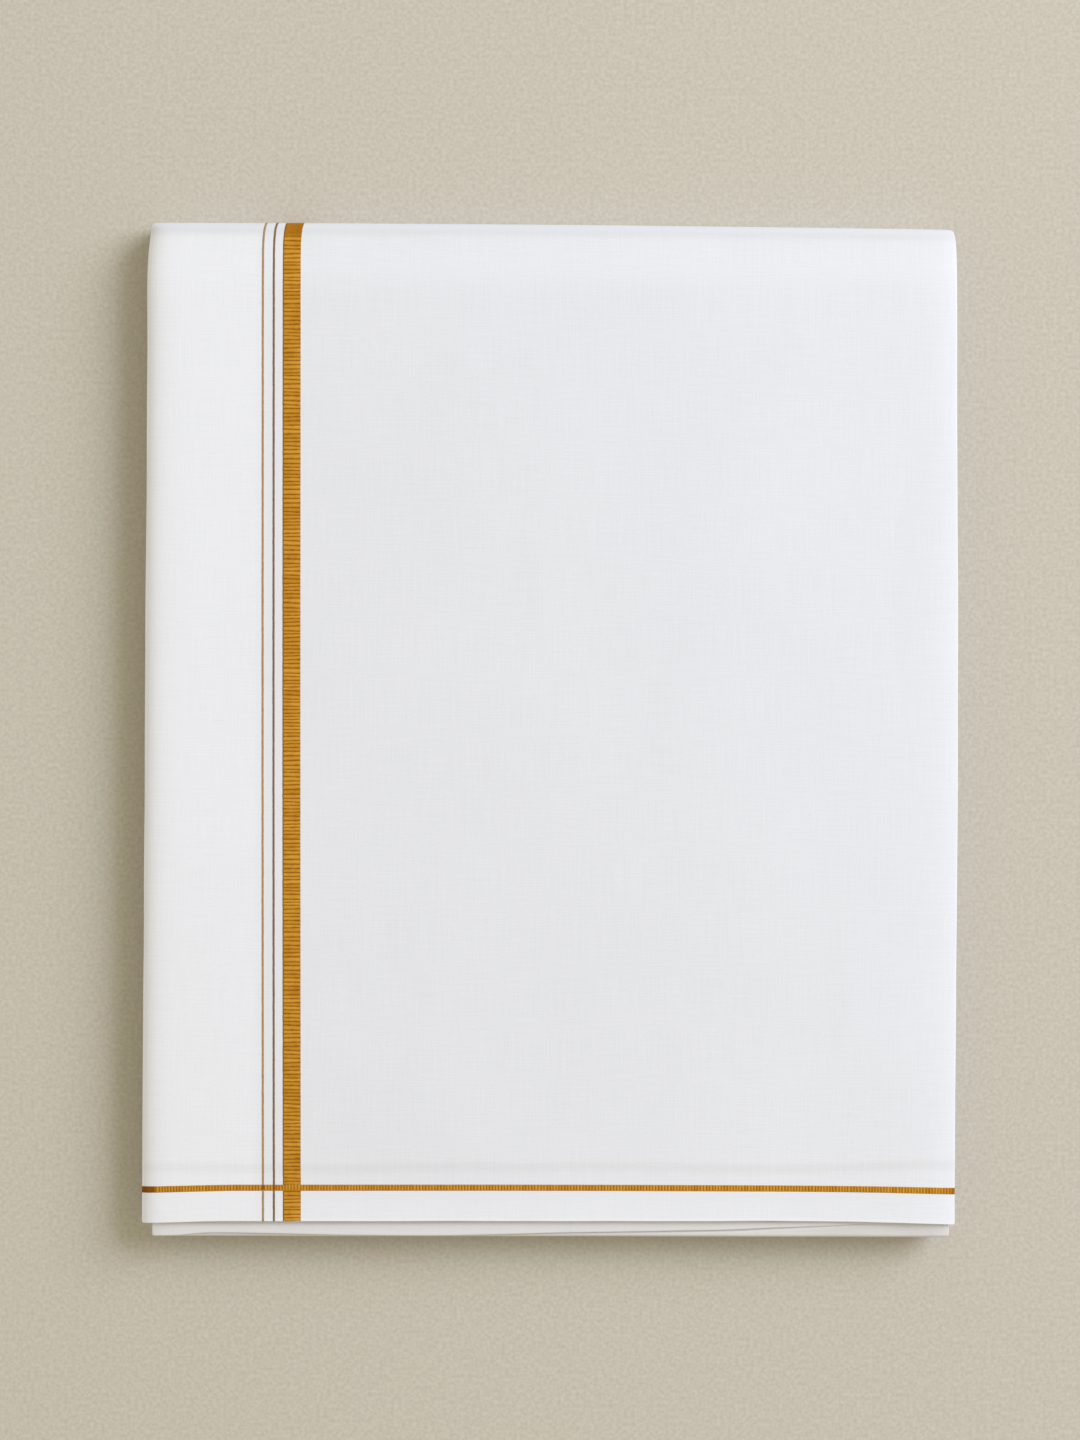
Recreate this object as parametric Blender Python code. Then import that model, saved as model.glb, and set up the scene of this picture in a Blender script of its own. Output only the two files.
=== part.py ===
"""A dhoti cloth, folded for the shelf and lying flat: white cotton with woven gold border lines.

The cloth is folded across its width into a long strip, five widths thick. That strip is laid zigzag, and its last
run is brought round the back and over the top as a cover, so the packet has one smooth spine at +Y and a stack of
turned folds at -Y. The frame has +X to the right and +Y away from the free edge as the packet is looked down on,
+Z up, and the origin under the middle of the packet on the surface that it lies on. Sizes are in metres.

Every piece is worked out first as a pressed, square packet. Then settle() gives it the real one's sides, its
slightly skew spine, and the way its top slopes off towards the folded edges.
"""

import math
from collections import namedtuple

import bmesh
import bpy
from mathutils import Vector

# The packet
WIDTH = 0.2554
LENGTH = 0.3192
HEIGHT = 0.0140
SEAM_GAP = 0.0003

# The cover: the strip's last run, over the top, round the spine and along the underside
COVER_WALL = 0.0015
SPINE_DEPTH = 0.0050
SPINE_SQUARENESS = 3.2
TOP_FRONT = -0.1541
BASE_FRONT = -0.1582

# Past the last hidden edge inside it, the cover's wall is thinner up to its free edge
HEM_WALL = 0.0011
HEM_LENGTH = 0.0186
HEM_STEP_RUN = 0.0036

# How far the free edge comes forward at the cover's left and right corner, and over what distance
Creep = namedtuple("Creep", "forward reach")
LEFT_CREEP = Creep(forward=0.0007, reach=0.0380)
RIGHT_CREEP = Creep(forward=0.0010, reach=0.0600)

# The panel right under the cover, and the hidden strips below it
SECOND_WALL = 0.0012
STRIP_COUNT = 9
PLAN_CORNER = 0.0008

# How the top slopes off at each edge: how far it drops there, and over what distance it fades
LEFT_DROP, LEFT_FADE = 0.0018, 0.0024
RIGHT_DROP, RIGHT_FADE = 0.0022, 0.0050
SPINE_DROP, SPINE_FADE = 0.0012, 0.0080

# How much further forward the spine's right end lies than its left, and how late that comes on the way there
SPINE_SKEW, SKEW_CURVE = 0.0022, 1.8

SHARP_ANGLE = math.radians(50)
ROUGHNESS = 0.85
COLOURS = {
    "cover_panel": (0.83, 0.83, 0.85, 1.0),
    "second_panel": (0.80, 0.80, 0.81, 1.0),
    "inner_folds": (0.78, 0.77, 0.77, 1.0),
}

SECOND_TOP = HEIGHT - COVER_WALL - SEAM_GAP
SECOND_BASE = SECOND_TOP - SECOND_WALL
STRIPS_TOP = SECOND_BASE - SEAM_GAP
STRIPS_BASE = COVER_WALL + SEAM_GAP
STRIP_PITCH = (STRIPS_TOP - STRIPS_BASE) / STRIP_COUNT
SPINE_START = LENGTH / 2 - SPINE_DEPTH
MIDDLE_HEIGHT = HEIGHT / 2

# The side edges of the cover's top, from its free edge to the spine, where both corners are drawn in a little
Side = namedtuple("Side", "y left right")
COVER_SIDES = (
    Side(y=-0.1550, left=-0.1277, right=0.1267),
    Side(y=-0.1000, left=-0.1274, right=0.1271),
    Side(y=-0.0200, left=-0.1269, right=0.1276),
    Side(y=0.0500, left=-0.1265, right=0.1277),
    Side(y=0.1200, left=-0.1260, right=0.1275),
    Side(y=0.1420, left=-0.1258, right=0.1274),
    Side(y=0.1500, left=-0.1254, right=0.1270),
    Side(y=0.1560, left=-0.1250, right=0.1266),
    Side(y=0.1596, left=-0.1249, right=0.1265),
)

# The side edges of all that lies under the cover's top, which spreads a little wider than this at its free edge
STACK_SIDES = (
    Side(y=-0.1596, left=-0.1249, right=0.1251),
    Side(y=0.1480, left=-0.1251, right=0.1254),
    Side(y=0.1596, left=-0.1247, right=0.1252),
)

# The front edge of the second panel, which lies a little askew under the cover
Edge = namedtuple("Edge", "x y")
SECOND_FRONT = (
    Edge(x=-0.1277, y=-0.1580),
    Edge(x=-0.0850, y=-0.1583),
    Edge(x=-0.0160, y=-0.1577),
    Edge(x=0.0225, y=-0.1574),
    Edge(x=0.0740, y=-0.1565),
    Edge(x=0.0940, y=-0.1551),
    Edge(x=0.1277, y=-0.1547),
)

# The hidden strips from the lowest up: how far each stays inside the stack's side edges
Strip = namedtuple("Strip", "left_inset right_inset")
STRIPS = (
    Strip(left_inset=0.0006, right_inset=0.0009),
    Strip(left_inset=0.0013, right_inset=0.0003),
    Strip(left_inset=0.0004, right_inset=0.0012),
    Strip(left_inset=0.0015, right_inset=0.0006),
    Strip(left_inset=0.0007, right_inset=0.0014),
    Strip(left_inset=0.0016, right_inset=0.0004),
    Strip(left_inset=0.0005, right_inset=0.0011),
    Strip(left_inset=0.0012, right_inset=0.0015),
    Strip(left_inset=0.0006, right_inset=0.0001),
)

# The turned folds at the front, each round the strips that it joins: how far forward its middle lies, how much
# further forward its right end is than its left, and how far both ends draw back
FrontFold = namedtuple("FrontFold", "first count y lean bow")
FRONT_FOLDS = (
    FrontFold(first=0, count=1, y=-0.1582, lean=0.0003, bow=0.0002),
    FrontFold(first=1, count=2, y=-0.1574, lean=-0.0005, bow=0.0),
    FrontFold(first=3, count=2, y=-0.1588, lean=0.0004, bow=0.0003),
    FrontFold(first=5, count=2, y=-0.1578, lean=-0.0003, bow=0.0001),
    FrontFold(first=7, count=2, y=-LENGTH / 2, lean=0.0, bow=0.0005),
)

# Where the cloth's surface gets its points: distances in from an edge, closer together where it curves most
LEFT_STEPS = (0.0, 0.0011, 0.0024, 0.0042, 0.0072, 0.0125, 0.0230)
RIGHT_STEPS = (0.0, 0.0020, 0.0046, 0.0080, 0.0130, 0.0200, 0.0310)
SPINE_STEPS = (0.0300, 0.0190, 0.0120, 0.0070, 0.0030)
SIDE_ROWS = (-0.1450, -0.1000, -0.0500, 0.0, 0.0500, 0.0900, 0.1200, 0.1400)
CAP_INSETS = (0.0009, 0.0024, 0.0050, 0.0090, 0.0150, 0.0240, 0.0360)
MIDDLE_COLUMNS = 5
LONG_ROWS = 5
HEM_STEP_ROWS = 4
SPINE_SEGMENTS = 12
NOSE_SEGMENTS = 4
CORNER_SEGMENTS = 3
RIDGE_SHARES = (0.0, 0.2, 0.5, 0.8)

# How the cover's two ends are rounded: how far in from the end, and how much of the wall's thickness is there
EndRound = namedtuple("EndRound", "run share")
FREE_END = (
    EndRound(run=0.0, share=0.40),
    EndRound(run=0.00012, share=0.72),
    EndRound(run=0.0004, share=1.0),
)
BASE_END = (
    EndRound(run=0.00027, share=0.77),
    EndRound(run=0.00005, share=0.34),
)


def read_table(rows, key, column, at):
    """The value of a column where the key column has the value at, in a straight line between rows."""
    first, last = rows[0], rows[-1]
    if at <= getattr(first, key):
        return getattr(first, column)
    for low, high in zip(rows, rows[1:]):
        if at <= getattr(high, key):
            share = (at - getattr(low, key)) / (getattr(high, key) - getattr(low, key))
            return getattr(low, column) * (1 - share) + getattr(high, column) * share
    return getattr(last, column)


def settle(point, spread=0.0):
    """Takes a point of the square packet to its place in the real one. Spread is 1 on the cover's top."""
    x, y, z = point
    cover_left = read_table(COVER_SIDES, "y", "left", y)
    cover_right = read_table(COVER_SIDES, "y", "right", y)
    cover_edge = cover_left if x < 0 else cover_right
    stack_edge = read_table(STACK_SIDES, "y", "left" if x < 0 else "right", y)
    edge = stack_edge + (cover_edge - stack_edge) * spread
    x_real = x * abs(edge) / (WIDTH / 2)
    aside = max(0.0, x / WIDTH + 0.5)
    y_real = y - SPINE_SKEW * aside**SKEW_CURVE * max(0.0, y) / (LENGTH / 2)
    drop = LEFT_DROP * math.exp(-max(0.0, x_real - cover_left) / LEFT_FADE)
    drop += RIGHT_DROP * math.exp(-max(0.0, cover_right - x_real) / RIGHT_FADE)
    drop += SPINE_DROP * math.exp(-(LENGTH / 2 - y) / SPINE_FADE)
    return Vector((x_real, y_real, z * (1 - drop / HEIGHT)))


def extrude_ring(bm, ring, places):
    """Extrudes a closed ring of vertices to new places and returns the new ring in the same order."""
    edges = [bm.edges.get((a, b)) for a, b in zip(ring, ring[1:] + ring[:1])]
    made = bmesh.ops.extrude_edge_only(bm, edges=edges)["geom"]
    fresh = {part for part in made if isinstance(part, bmesh.types.BMVert)}
    following = []
    for vert in ring:
        following.append(next(e.other_vert(vert) for e in vert.link_edges if e.other_vert(vert) in fresh))
    for vert, place in zip(following, places):
        vert.co = place
    return following


def loft(bm, sections):
    """A skin through closed sections of equal count. Returns its first and last rings."""
    first = [bm.verts.new(place) for place in sections[0]]
    for a, b in zip(first, first[1:] + first[:1]):
        bm.edges.new((a, b))
    ring = first
    for places in sections[1:]:
        ring = extrude_ring(bm, ring, places)
    return first, ring


def close_flat_ring(bm, ring):
    """Closes the ring of a flattened section with faces from its upper points to the ones below them."""
    half = len(ring) // 2
    upper = ring[: half + 1]
    lower = [ring[0]] + ring[: half - 1 : -1]
    for k in range(half):
        corners = [upper[k], upper[k + 1], lower[k + 1], lower[k]]
        bm.faces.new(list(dict.fromkeys(corners)))


def cotton(name):
    """The white cotton of one piece: the deeper it lies, the less bright it looks."""
    material = bpy.data.materials.new(name + "_cotton")
    material.use_nodes = True
    shader = material.node_tree.nodes["Principled BSDF"]
    shader.inputs["Base Color"].default_value = COLOURS[name]
    shader.inputs["Roughness"].default_value = ROUGHNESS
    shader.inputs["Metallic"].default_value = 0.0
    material.diffuse_color = COLOURS[name]
    return material


def add_node(name, bm):
    """Makes a bmesh into the named object, faces out and shaded smooth but for its sharp edges."""
    bmesh.ops.recalc_face_normals(bm, faces=bm.faces)
    mesh = bpy.data.meshes.new(name)
    bm.to_mesh(mesh)
    bm.free()
    mesh.shade_smooth()
    mesh.set_sharp_from_angle(angle=SHARP_ANGLE)
    mesh.materials.append(cotton(name))
    bpy.context.scene.collection.objects.link(bpy.data.objects.new(name, mesh))


def columns(left_edge, right_edge):
    """Places across the cloth, close together near its edges."""
    left = [left_edge + step for step in LEFT_STEPS]
    right = [right_edge - step for step in reversed(RIGHT_STEPS)]
    span = (right[0] - left[-1]) / (MIDDLE_COLUMNS + 1)
    middle = [left[-1] + span * (k + 1) for k in range(MIDDLE_COLUMNS)]
    return left + middle + right


def front_creep(x):
    """How far the cover's free edge comes forward near its two corners."""
    corner = LEFT_CREEP if x < 0 else RIGHT_CREEP
    inside = WIDTH / 2 - abs(x)
    return corner.forward * max(0.0, 1 - inside / corner.reach) ** 2


Station = namedtuple("Station", "outer_y outer_z inner_y inner_z creep")


def flat_station(y, outer_z, inner_z, creep=0.0):
    """A place where the cover lies flat, so its inner face is right under or over its outer one."""
    return Station(y, outer_z, y, inner_z, creep)


def hem_stations():
    """The cover from its free edge to where its wall has its full thickness."""
    under = HEIGHT - COVER_WALL
    hem_top = under + HEM_WALL
    middle = (hem_top + under) / 2
    found = []
    for end in FREE_END:
        half = end.share * HEM_WALL / 2
        found.append(flat_station(TOP_FRONT + end.run, middle + half, middle - half, creep=1.0))
    found.append(flat_station(TOP_FRONT + HEM_LENGTH / 2, hem_top, under, creep=0.5))
    for k in range(HEM_STEP_ROWS + 1):
        share = k / HEM_STEP_ROWS
        rise = (COVER_WALL - HEM_WALL) * (1 - math.cos(math.pi * share)) / 2
        found.append(flat_station(TOP_FRONT + HEM_LENGTH - HEM_STEP_RUN * (1 - share), hem_top + rise, under))
    return found


def squared(value):
    """Draws a sine or cosine out towards 1 or -1, which makes a round line squarer."""
    return math.copysign(abs(value) ** (2 / SPINE_SQUARENESS), value)


def spine_station(k):
    """A place round the cover's spine, from its top at 0 to the underside at SPINE_SEGMENTS."""
    turn = math.pi * k / SPINE_SEGMENTS
    back, up = squared(math.sin(turn)), squared(math.cos(turn))
    return Station(
        SPINE_START + SPINE_DEPTH * back,
        MIDDLE_HEIGHT + MIDDLE_HEIGHT * up,
        SPINE_START + (SPINE_DEPTH - COVER_WALL) * back,
        MIDDLE_HEIGHT + (MIDDLE_HEIGHT - COVER_WALL) * up,
        0.0,
    )


def cover_stations():
    """The cover's outer and inner faces, one place at a time, from its free edge to the end of its underside."""
    found = hem_stations()
    hem_end = TOP_FRONT + HEM_LENGTH
    crown_start = SPINE_START - SPINE_STEPS[0]
    tops = [hem_end + (crown_start - hem_end) * k / LONG_ROWS for k in range(1, LONG_ROWS)]
    tops += [SPINE_START - step for step in SPINE_STEPS]
    found += [flat_station(y, HEIGHT, HEIGHT - COVER_WALL) for y in tops]
    found += [spine_station(k) for k in range(SPINE_SEGMENTS + 1)]
    base_run = BASE_FRONT + COVER_WALL / 2 - SPINE_START
    found += [flat_station(SPINE_START + base_run * k / LONG_ROWS, 0.0, COVER_WALL) for k in range(1, LONG_ROWS + 1)]
    for end in BASE_END:
        half = end.share * COVER_WALL / 2
        found.append(flat_station(BASE_FRONT + end.run, COVER_WALL / 2 - half, COVER_WALL / 2 + half))
    return found


def cover_section(station):
    """The closed outline across the cover at a station: outer face, right nose, inner face, left nose."""
    wall = math.dist((station.outer_y, station.outer_z), (station.inner_y, station.inner_z))
    across = columns(-WIDTH / 2 + wall / 2, WIDTH / 2 - wall / 2)

    def place(x, share, out=0.0):
        y = station.outer_y * (1 - share) + station.inner_y * share
        z = station.outer_z * (1 - share) + station.inner_z * share
        spread = min(1.0, max(0.0, (z - COVER_WALL) / (HEIGHT - 2 * COVER_WALL)))
        return settle((x + out, y - station.creep * front_creep(x), z), spread)

    def nose(x, side):
        turns = [math.pi * k / NOSE_SEGMENTS for k in range(1, NOSE_SEGMENTS)]
        return [place(x, (1 - math.cos(t)) / 2, side * wall / 2 * math.sin(t)) for t in turns]

    outer = [place(x, 0.0) for x in across]
    inner = [place(x, 1.0) for x in reversed(across)]
    left_nose = nose(across[0], -1)
    tip = NOSE_SEGMENTS // 2 - 1
    return left_nose[tip::-1] + outer + nose(across[-1], 1) + inner + left_nose[:tip:-1]


def build_cover():
    """The cover: one wall from the free edge over the top, round the spine and back along the underside."""
    bm = bmesh.new()
    first, last = loft(bm, [cover_section(station) for station in cover_stations()])
    close_flat_ring(bm, first)
    close_flat_ring(bm, last)
    add_node("cover_panel", bm)


def back_edge(z):
    """How far back a hidden layer at this height reaches, clear of the inside of the spine."""
    deep = SPINE_DEPTH - COVER_WALL - SEAM_GAP
    high = MIDDLE_HEIGHT - COVER_WALL - SEAM_GAP
    share = min(1.0, abs(z - MIDDLE_HEIGHT) / high)
    return SPINE_START + deep * (1 - share**SPINE_SQUARENESS) ** (1 / SPINE_SQUARENESS)


def nose_inset(share, radius):
    """How far a rounded fold draws back from its tip, at a share of its height."""
    return radius * (1 - math.sqrt(max(0.0, 1 - (1 - 2 * share) ** 2)))


def corner_arc(x, y, start):
    """The points between the two ends of a quarter turn round a corner's centre."""
    turns = [start + math.pi / 2 * k / CORNER_SEGMENTS for k in range(1, CORNER_SEGMENTS)]
    return [(x + PLAN_CORNER * math.cos(t), y + PLAN_CORNER * math.sin(t)) for t in turns]


def plan_ring(z, left, right, front, inset=0.0):
    """The settled outline of a layer at one height, seen from above, with small round corners."""
    low, high = left + inset + PLAN_CORNER, right - inset - PLAN_CORNER
    back = back_edge(z) - inset
    across = columns(low, high)
    start, end = front(low) + inset + PLAN_CORNER, back - PLAN_CORNER
    stretch = (end - start) / (SIDE_ROWS[-1] - SIDE_ROWS[0])
    rows = [start + (y - SIDE_ROWS[0]) * stretch for y in SIDE_ROWS]
    ring = [(x, front(x) + inset) for x in across]
    ring += corner_arc(high, front(high) + inset + PLAN_CORNER, -math.pi / 2)
    ring += [(high + PLAN_CORNER, y) for y in rows]
    ring += corner_arc(high, end, 0.0)
    ring += [(x, back) for x in reversed(across)]
    ring += corner_arc(low, end, math.pi / 2)
    ring += [(low - PLAN_CORNER, y) for y in reversed(rows)]
    ring += corner_arc(low, start, math.pi)
    return [settle((x, y, z)) for x, y in ring]


def layered_node(name, levels):
    """A closed solid through levels of (z, left, right, front), with its top and underside closed in steps."""
    sections = [plan_ring(*levels[0], inset=inset) for inset in reversed(CAP_INSETS)]
    sections += [plan_ring(*level) for level in levels]
    sections += [plan_ring(*levels[-1], inset=inset) for inset in CAP_INSETS]
    bm = bmesh.new()
    for ring in loft(bm, sections):
        bm.faces.new(ring)
    add_node(name, bm)


def build_second_panel():
    """The panel right under the cover. Its front edge shows past the cover's, a little askew."""
    levels = []
    for share in RIDGE_SHARES + (1.0,):
        inset = nose_inset(share, SECOND_WALL / 2)

        def front(x, inset=inset):
            return read_table(SECOND_FRONT, "x", "y", x) + inset

        z = SECOND_BASE + SECOND_WALL * share
        levels.append((z, -WIDTH / 2 + inset, WIDTH / 2 - inset, front))
    layered_node("second_panel", levels)


def strip_front(index, share):
    """The front edge of a hidden strip at a share of its height, as a function of x."""
    fold = next(f for f in FRONT_FOLDS if f.first <= index < f.first + f.count)
    inset = nose_inset((index - fold.first + share) / fold.count, STRIP_PITCH * fold.count / 2)
    return lambda x: fold.y + inset - fold.lean * x / WIDTH + fold.bow * (2 * x / WIDTH) ** 2


def build_inner_folds():
    """The hidden strips as one rounded solid, with a ridge at each side edge and a turned fold for each pair."""
    levels = []
    for index, strip in enumerate(STRIPS):
        last = index == STRIP_COUNT - 1
        for share in RIDGE_SHARES + ((1.0,) if last else ()):
            inset = nose_inset(share, STRIP_PITCH / 2)
            left = -WIDTH / 2 + strip.left_inset + inset
            right = WIDTH / 2 - strip.right_inset - inset
            z = STRIPS_BASE + STRIP_PITCH * (index + share)
            levels.append((z, left, right, strip_front(index, share)))
    layered_node("inner_folds", levels)


def main():
    for old in list(bpy.data.objects):
        bpy.data.objects.remove(old)
    build_cover()
    build_second_panel()
    build_inner_folds()


main()
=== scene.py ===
"""The finished look of a folded dhoti cloth: fine cotton layers, woven gold lines and a plain stage.

The packet lies flat, its free edge at -Y and its smooth spine at +Y. The cover is one run of cloth that
starts at the free edge, goes over the top, round the spine and back along the underside. A place on it is
given by x and by the distance along that run. Each piece is worked out as a pressed, square packet, and
settle() takes it to the real one. Sizes are in metres.
"""

import math
import random
from collections import namedtuple

import bmesh
import bpy
from bpy.props import FloatProperty, FloatVectorProperty, PointerProperty
from bpy.types import Operator, Panel, PropertyGroup
from mathutils import Euler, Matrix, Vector, noise


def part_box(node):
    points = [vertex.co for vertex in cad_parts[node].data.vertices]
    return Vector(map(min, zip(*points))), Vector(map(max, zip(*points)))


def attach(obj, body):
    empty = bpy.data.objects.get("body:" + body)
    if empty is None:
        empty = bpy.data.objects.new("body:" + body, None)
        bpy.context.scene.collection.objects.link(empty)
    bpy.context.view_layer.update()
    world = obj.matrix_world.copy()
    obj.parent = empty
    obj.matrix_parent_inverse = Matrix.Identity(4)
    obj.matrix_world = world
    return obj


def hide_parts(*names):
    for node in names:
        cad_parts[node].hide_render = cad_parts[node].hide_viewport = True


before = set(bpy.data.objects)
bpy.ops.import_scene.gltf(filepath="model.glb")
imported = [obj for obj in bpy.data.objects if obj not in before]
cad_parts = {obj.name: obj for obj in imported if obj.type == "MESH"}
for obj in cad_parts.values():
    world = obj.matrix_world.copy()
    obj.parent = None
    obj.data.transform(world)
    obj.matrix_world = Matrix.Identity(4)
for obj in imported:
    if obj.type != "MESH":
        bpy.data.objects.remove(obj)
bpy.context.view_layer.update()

bl_info = {
    "name": "Folded Dhoti Cloth",
    "version": (1, 0, 0),
    "blender": (4, 5, 0),
    "location": "View3D > Sidebar > Dhoti",
    "description": "Lays the cotton layers, the woven gold lines and a plain stage round the folded packet",
    "category": "Object",
}

# The packet, from the frame
COVER_LOW, COVER_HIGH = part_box("cover_panel")
SECOND_LOW, SECOND_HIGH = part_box("second_panel")
INNER_LOW, INNER_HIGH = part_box("inner_folds")
WIDTH = COVER_HIGH.x - COVER_LOW.x
HALF_WIDTH = WIDTH / 2
HEIGHT = COVER_HIGH.z
MIDDLE_HEIGHT = HEIGHT / 2
BACK = COVER_HIGH.y

# The cover's run of cloth
WALL = 0.0015
SPINE_DEPTH = 0.0050
SPINE_SQUARENESS = 3.2
SPINE_START = BACK - SPINE_DEPTH
TOP_FRONT = -0.1541
BASE_FRONT = COVER_LOW.y
TOP_RUN = SPINE_START - TOP_FRONT
BASE_RUN = SPINE_START - BASE_FRONT


def table(kind, *rows):
    """Rows of values, each under the names of its kind."""
    return tuple(kind(*row) for row in rows)


Turn = namedtuple("Turn", "along back up")


def squared(value):
    """Draws a sine or cosine out towards 1 or -1, which makes a round line squarer."""
    return math.copysign(abs(value) ** (2 / SPINE_SQUARENESS), value)


def spine_turns(steps):
    """The spine's outer line: how far along it, how far back and how far up from the middle each place is."""
    found = [Turn(0.0, 0.0, MIDDLE_HEIGHT)]
    for k in range(1, steps + 1):
        turn = math.pi * k / steps
        back, up = SPINE_DEPTH * squared(math.sin(turn)), MIDDLE_HEIGHT * squared(math.cos(turn))
        step = math.hypot(back - found[-1].back, up - found[-1].up)
        found.append(Turn(found[-1].along + step, back, up))
    return found


SPINE_TURNS = spine_turns(48)
SPINE_RUN = SPINE_TURNS[-1].along
WHOLE_RUN = TOP_RUN + SPINE_RUN + BASE_RUN
HEM_LENGTH = 0.0186

# How the top slopes off at each edge: how far it drops there, and over what distance it fades
LEFT_DROP, LEFT_FADE = 0.0018, 0.0024
RIGHT_DROP, RIGHT_FADE = 0.0008, 0.0042
SPINE_DROP, SPINE_SLOPE_START, SPINE_SLOPE_END = 0.0006, 0.0220, 0.0040
SPINE_SKEW, SKEW_CURVE = 0.0022, 1.8
CORNER_ROUND = 0.0012

# A stack's round corners, how far its levels sag unevenly, the first and widest step between its points in
# shares of its sides, and how far in its top face starts
STACK_CORNER = 0.0007
STACK_SAG = 0.00010
STACK_STEPS = (0.004, 0.0105)
SECOND_TOP_INSET, INNER_TOP_INSET = 0.0002, 0.0001

# How far the front edges of the second panel's leaves and of the turned folds fray, and how far the leaves'
# side edges lie behind each other
SECOND_FRAY, FOLD_FRAY, TOP_FOLD_FRAY = 0.00006, 0.00018, 0.00010
SECOND_LEAF_STEP, STRIP_LEAF_STEP = 0.0003, 0.00022

# How far the cover's free edge comes forward near its left and right corner, and over what distance
Creep = namedtuple("Creep", "forward reach")
LEFT_CREEP = Creep(forward=0.0007, reach=0.0380)
RIGHT_CREEP = Creep(forward=0.0012, reach=0.0600)

Side = namedtuple("Side", "y left right")
COVER_SIDES = table(
    Side,
    (-0.1550, -0.1277, 0.1267),
    (-0.1000, -0.1274, 0.1271),
    (-0.0200, -0.1269, 0.1276),
    (0.0500, -0.1265, 0.1277),
    (0.1200, -0.1260, 0.1275),
    (0.1420, -0.1261, 0.1275),
    (0.1500, -0.1257, 0.1274),
    (0.1560, -0.1250, 0.1270),
    (0.1600, -0.1249, 0.1262),
)
STACK_SIDES = table(
    Side,
    (-0.1596, -0.1249, 0.1255),
    (0.1480, -0.1251, 0.1254),
    (0.1596, -0.1247, 0.1252),
)

# One run of the strip is five layers of cloth, so its edge shows two folds and one selvedge
LEAVES = (0.0, 0.4, 0.8, 1.0)
LEAF_TURNS = 5
LEAF_GROOVE = 0.00012
COVER_LEAF_INSETS = (0.0, 0.00030, 0.00052)

# How far the folds of the cover's left and right side bulge past its pressed outline
COVER_BULGES = (0.00038, 0.00038)

# How both ends of the cover are finished: at each place in from the end, the part of the wall that is
# there. The free end shows its leaves one behind the other.
EndRow = namedtuple("EndRow", "run high low")
FREE_END = table(
    EndRow,
    (0.0, 0.12, 0.22),
    (0.00006, 0.05, 0.30),
    (0.00014, 0.01, 0.34),
    (0.00034, 0.0, 0.36),
    (0.00040, 0.0, 0.58),
    (0.00054, 0.0, 0.68),
    (0.00080, 0.0, 0.70),
    (0.00086, 0.0, 0.90),
    (0.00110, 0.0, 1.0),
)
BASE_END = table(
    EndRow,
    (0.00050, 0.0, 1.0),
    (0.00022, 0.10, 0.92),
    (0.00006, 0.28, 0.74),
    (0.0, 0.45, 0.57),
)
END_WANDER_FADE = 0.0020

# Soft creases: where each starts on the cover's run, how far it goes, how wide it is, and how far it
# stands up or, below zero, lies down
Crease = namedtuple("Crease", "x along dx dalong width rise")
TOP_CREASES = table(
    Crease,
    (0.0784, 0.2953, 0.0016, -0.0210, 0.0035, 0.00005),
    (0.0001, 0.2295, -0.0030, -0.0390, 0.0045, 0.00006),
    (0.0941, 0.1011, 0.0040, -0.0500, 0.0040, 0.00006),
    (-0.0440, 0.2780, 0.0140, -0.0120, 0.0030, -0.00004),
    (0.0420, 0.1850, -0.0110, -0.0330, 0.0050, -0.00005),
    (-0.0600, 0.1200, 0.0060, -0.0520, 0.0042, 0.00005),
    (-0.1120, 0.2120, 0.0030, -0.0450, 0.0030, 0.00005),
    (0.1130, 0.2350, -0.0040, -0.0600, 0.0038, -0.00006),
    (-0.1255, 0.0090, 0.0050, -0.0065, 0.0007, 0.00006),
    (-0.1210, 0.0068, 0.0036, -0.0048, 0.0006, -0.00005),
    (-0.0860, 0.0215, 0.0052, -0.0040, 0.0008, 0.00004),
    (0.0480, 0.0190, -0.0060, -0.0050, 0.0009, -0.00004),
)
BASE_CREASES = table(
    Crease,
    (-0.0720, 0.3700, 0.0060, 0.0520, 0.0045, -0.00006),
    (0.0350, 0.4100, -0.0080, 0.0440, 0.0040, -0.00005),
    (0.0980, 0.5200, -0.0030, 0.0610, 0.0038, -0.00006),
    (-0.0150, 0.5600, 0.0120, 0.0300, 0.0035, -0.00005),
)

# Where the gold lines run: x at a distance along the cover, for the band, and how far left of it the
# others lie
Bend = namedtuple("Bend", "along x")
BAND_LINE = table(
    Bend,
    (0.0, -0.0808),
    (0.1500, -0.0809),
    (0.3020, -0.0808),
    (0.3070, -0.0807),
    (0.3105, -0.0804),
    (0.3140, -0.0799),
    (0.3280, -0.0796),
    (WHOLE_RUN, -0.0790),
)
OUTER_LINE_OFFSET = -0.0090
NEAR_LINE_OFFSET = -0.0056

# The line across, near the free edge: how far along the cover it lies at each x
Across = namedtuple("Across", "x along")
CROSS_LINE = table(
    Across,
    (-0.1277, 0.0101),
    (-0.1001, 0.0105),
    (-0.0939, 0.0105),
    (0.0032, 0.0105),
    (0.0847, 0.0102),
    (0.1050, 0.0101),
    (0.1269, 0.0099),
)

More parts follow.
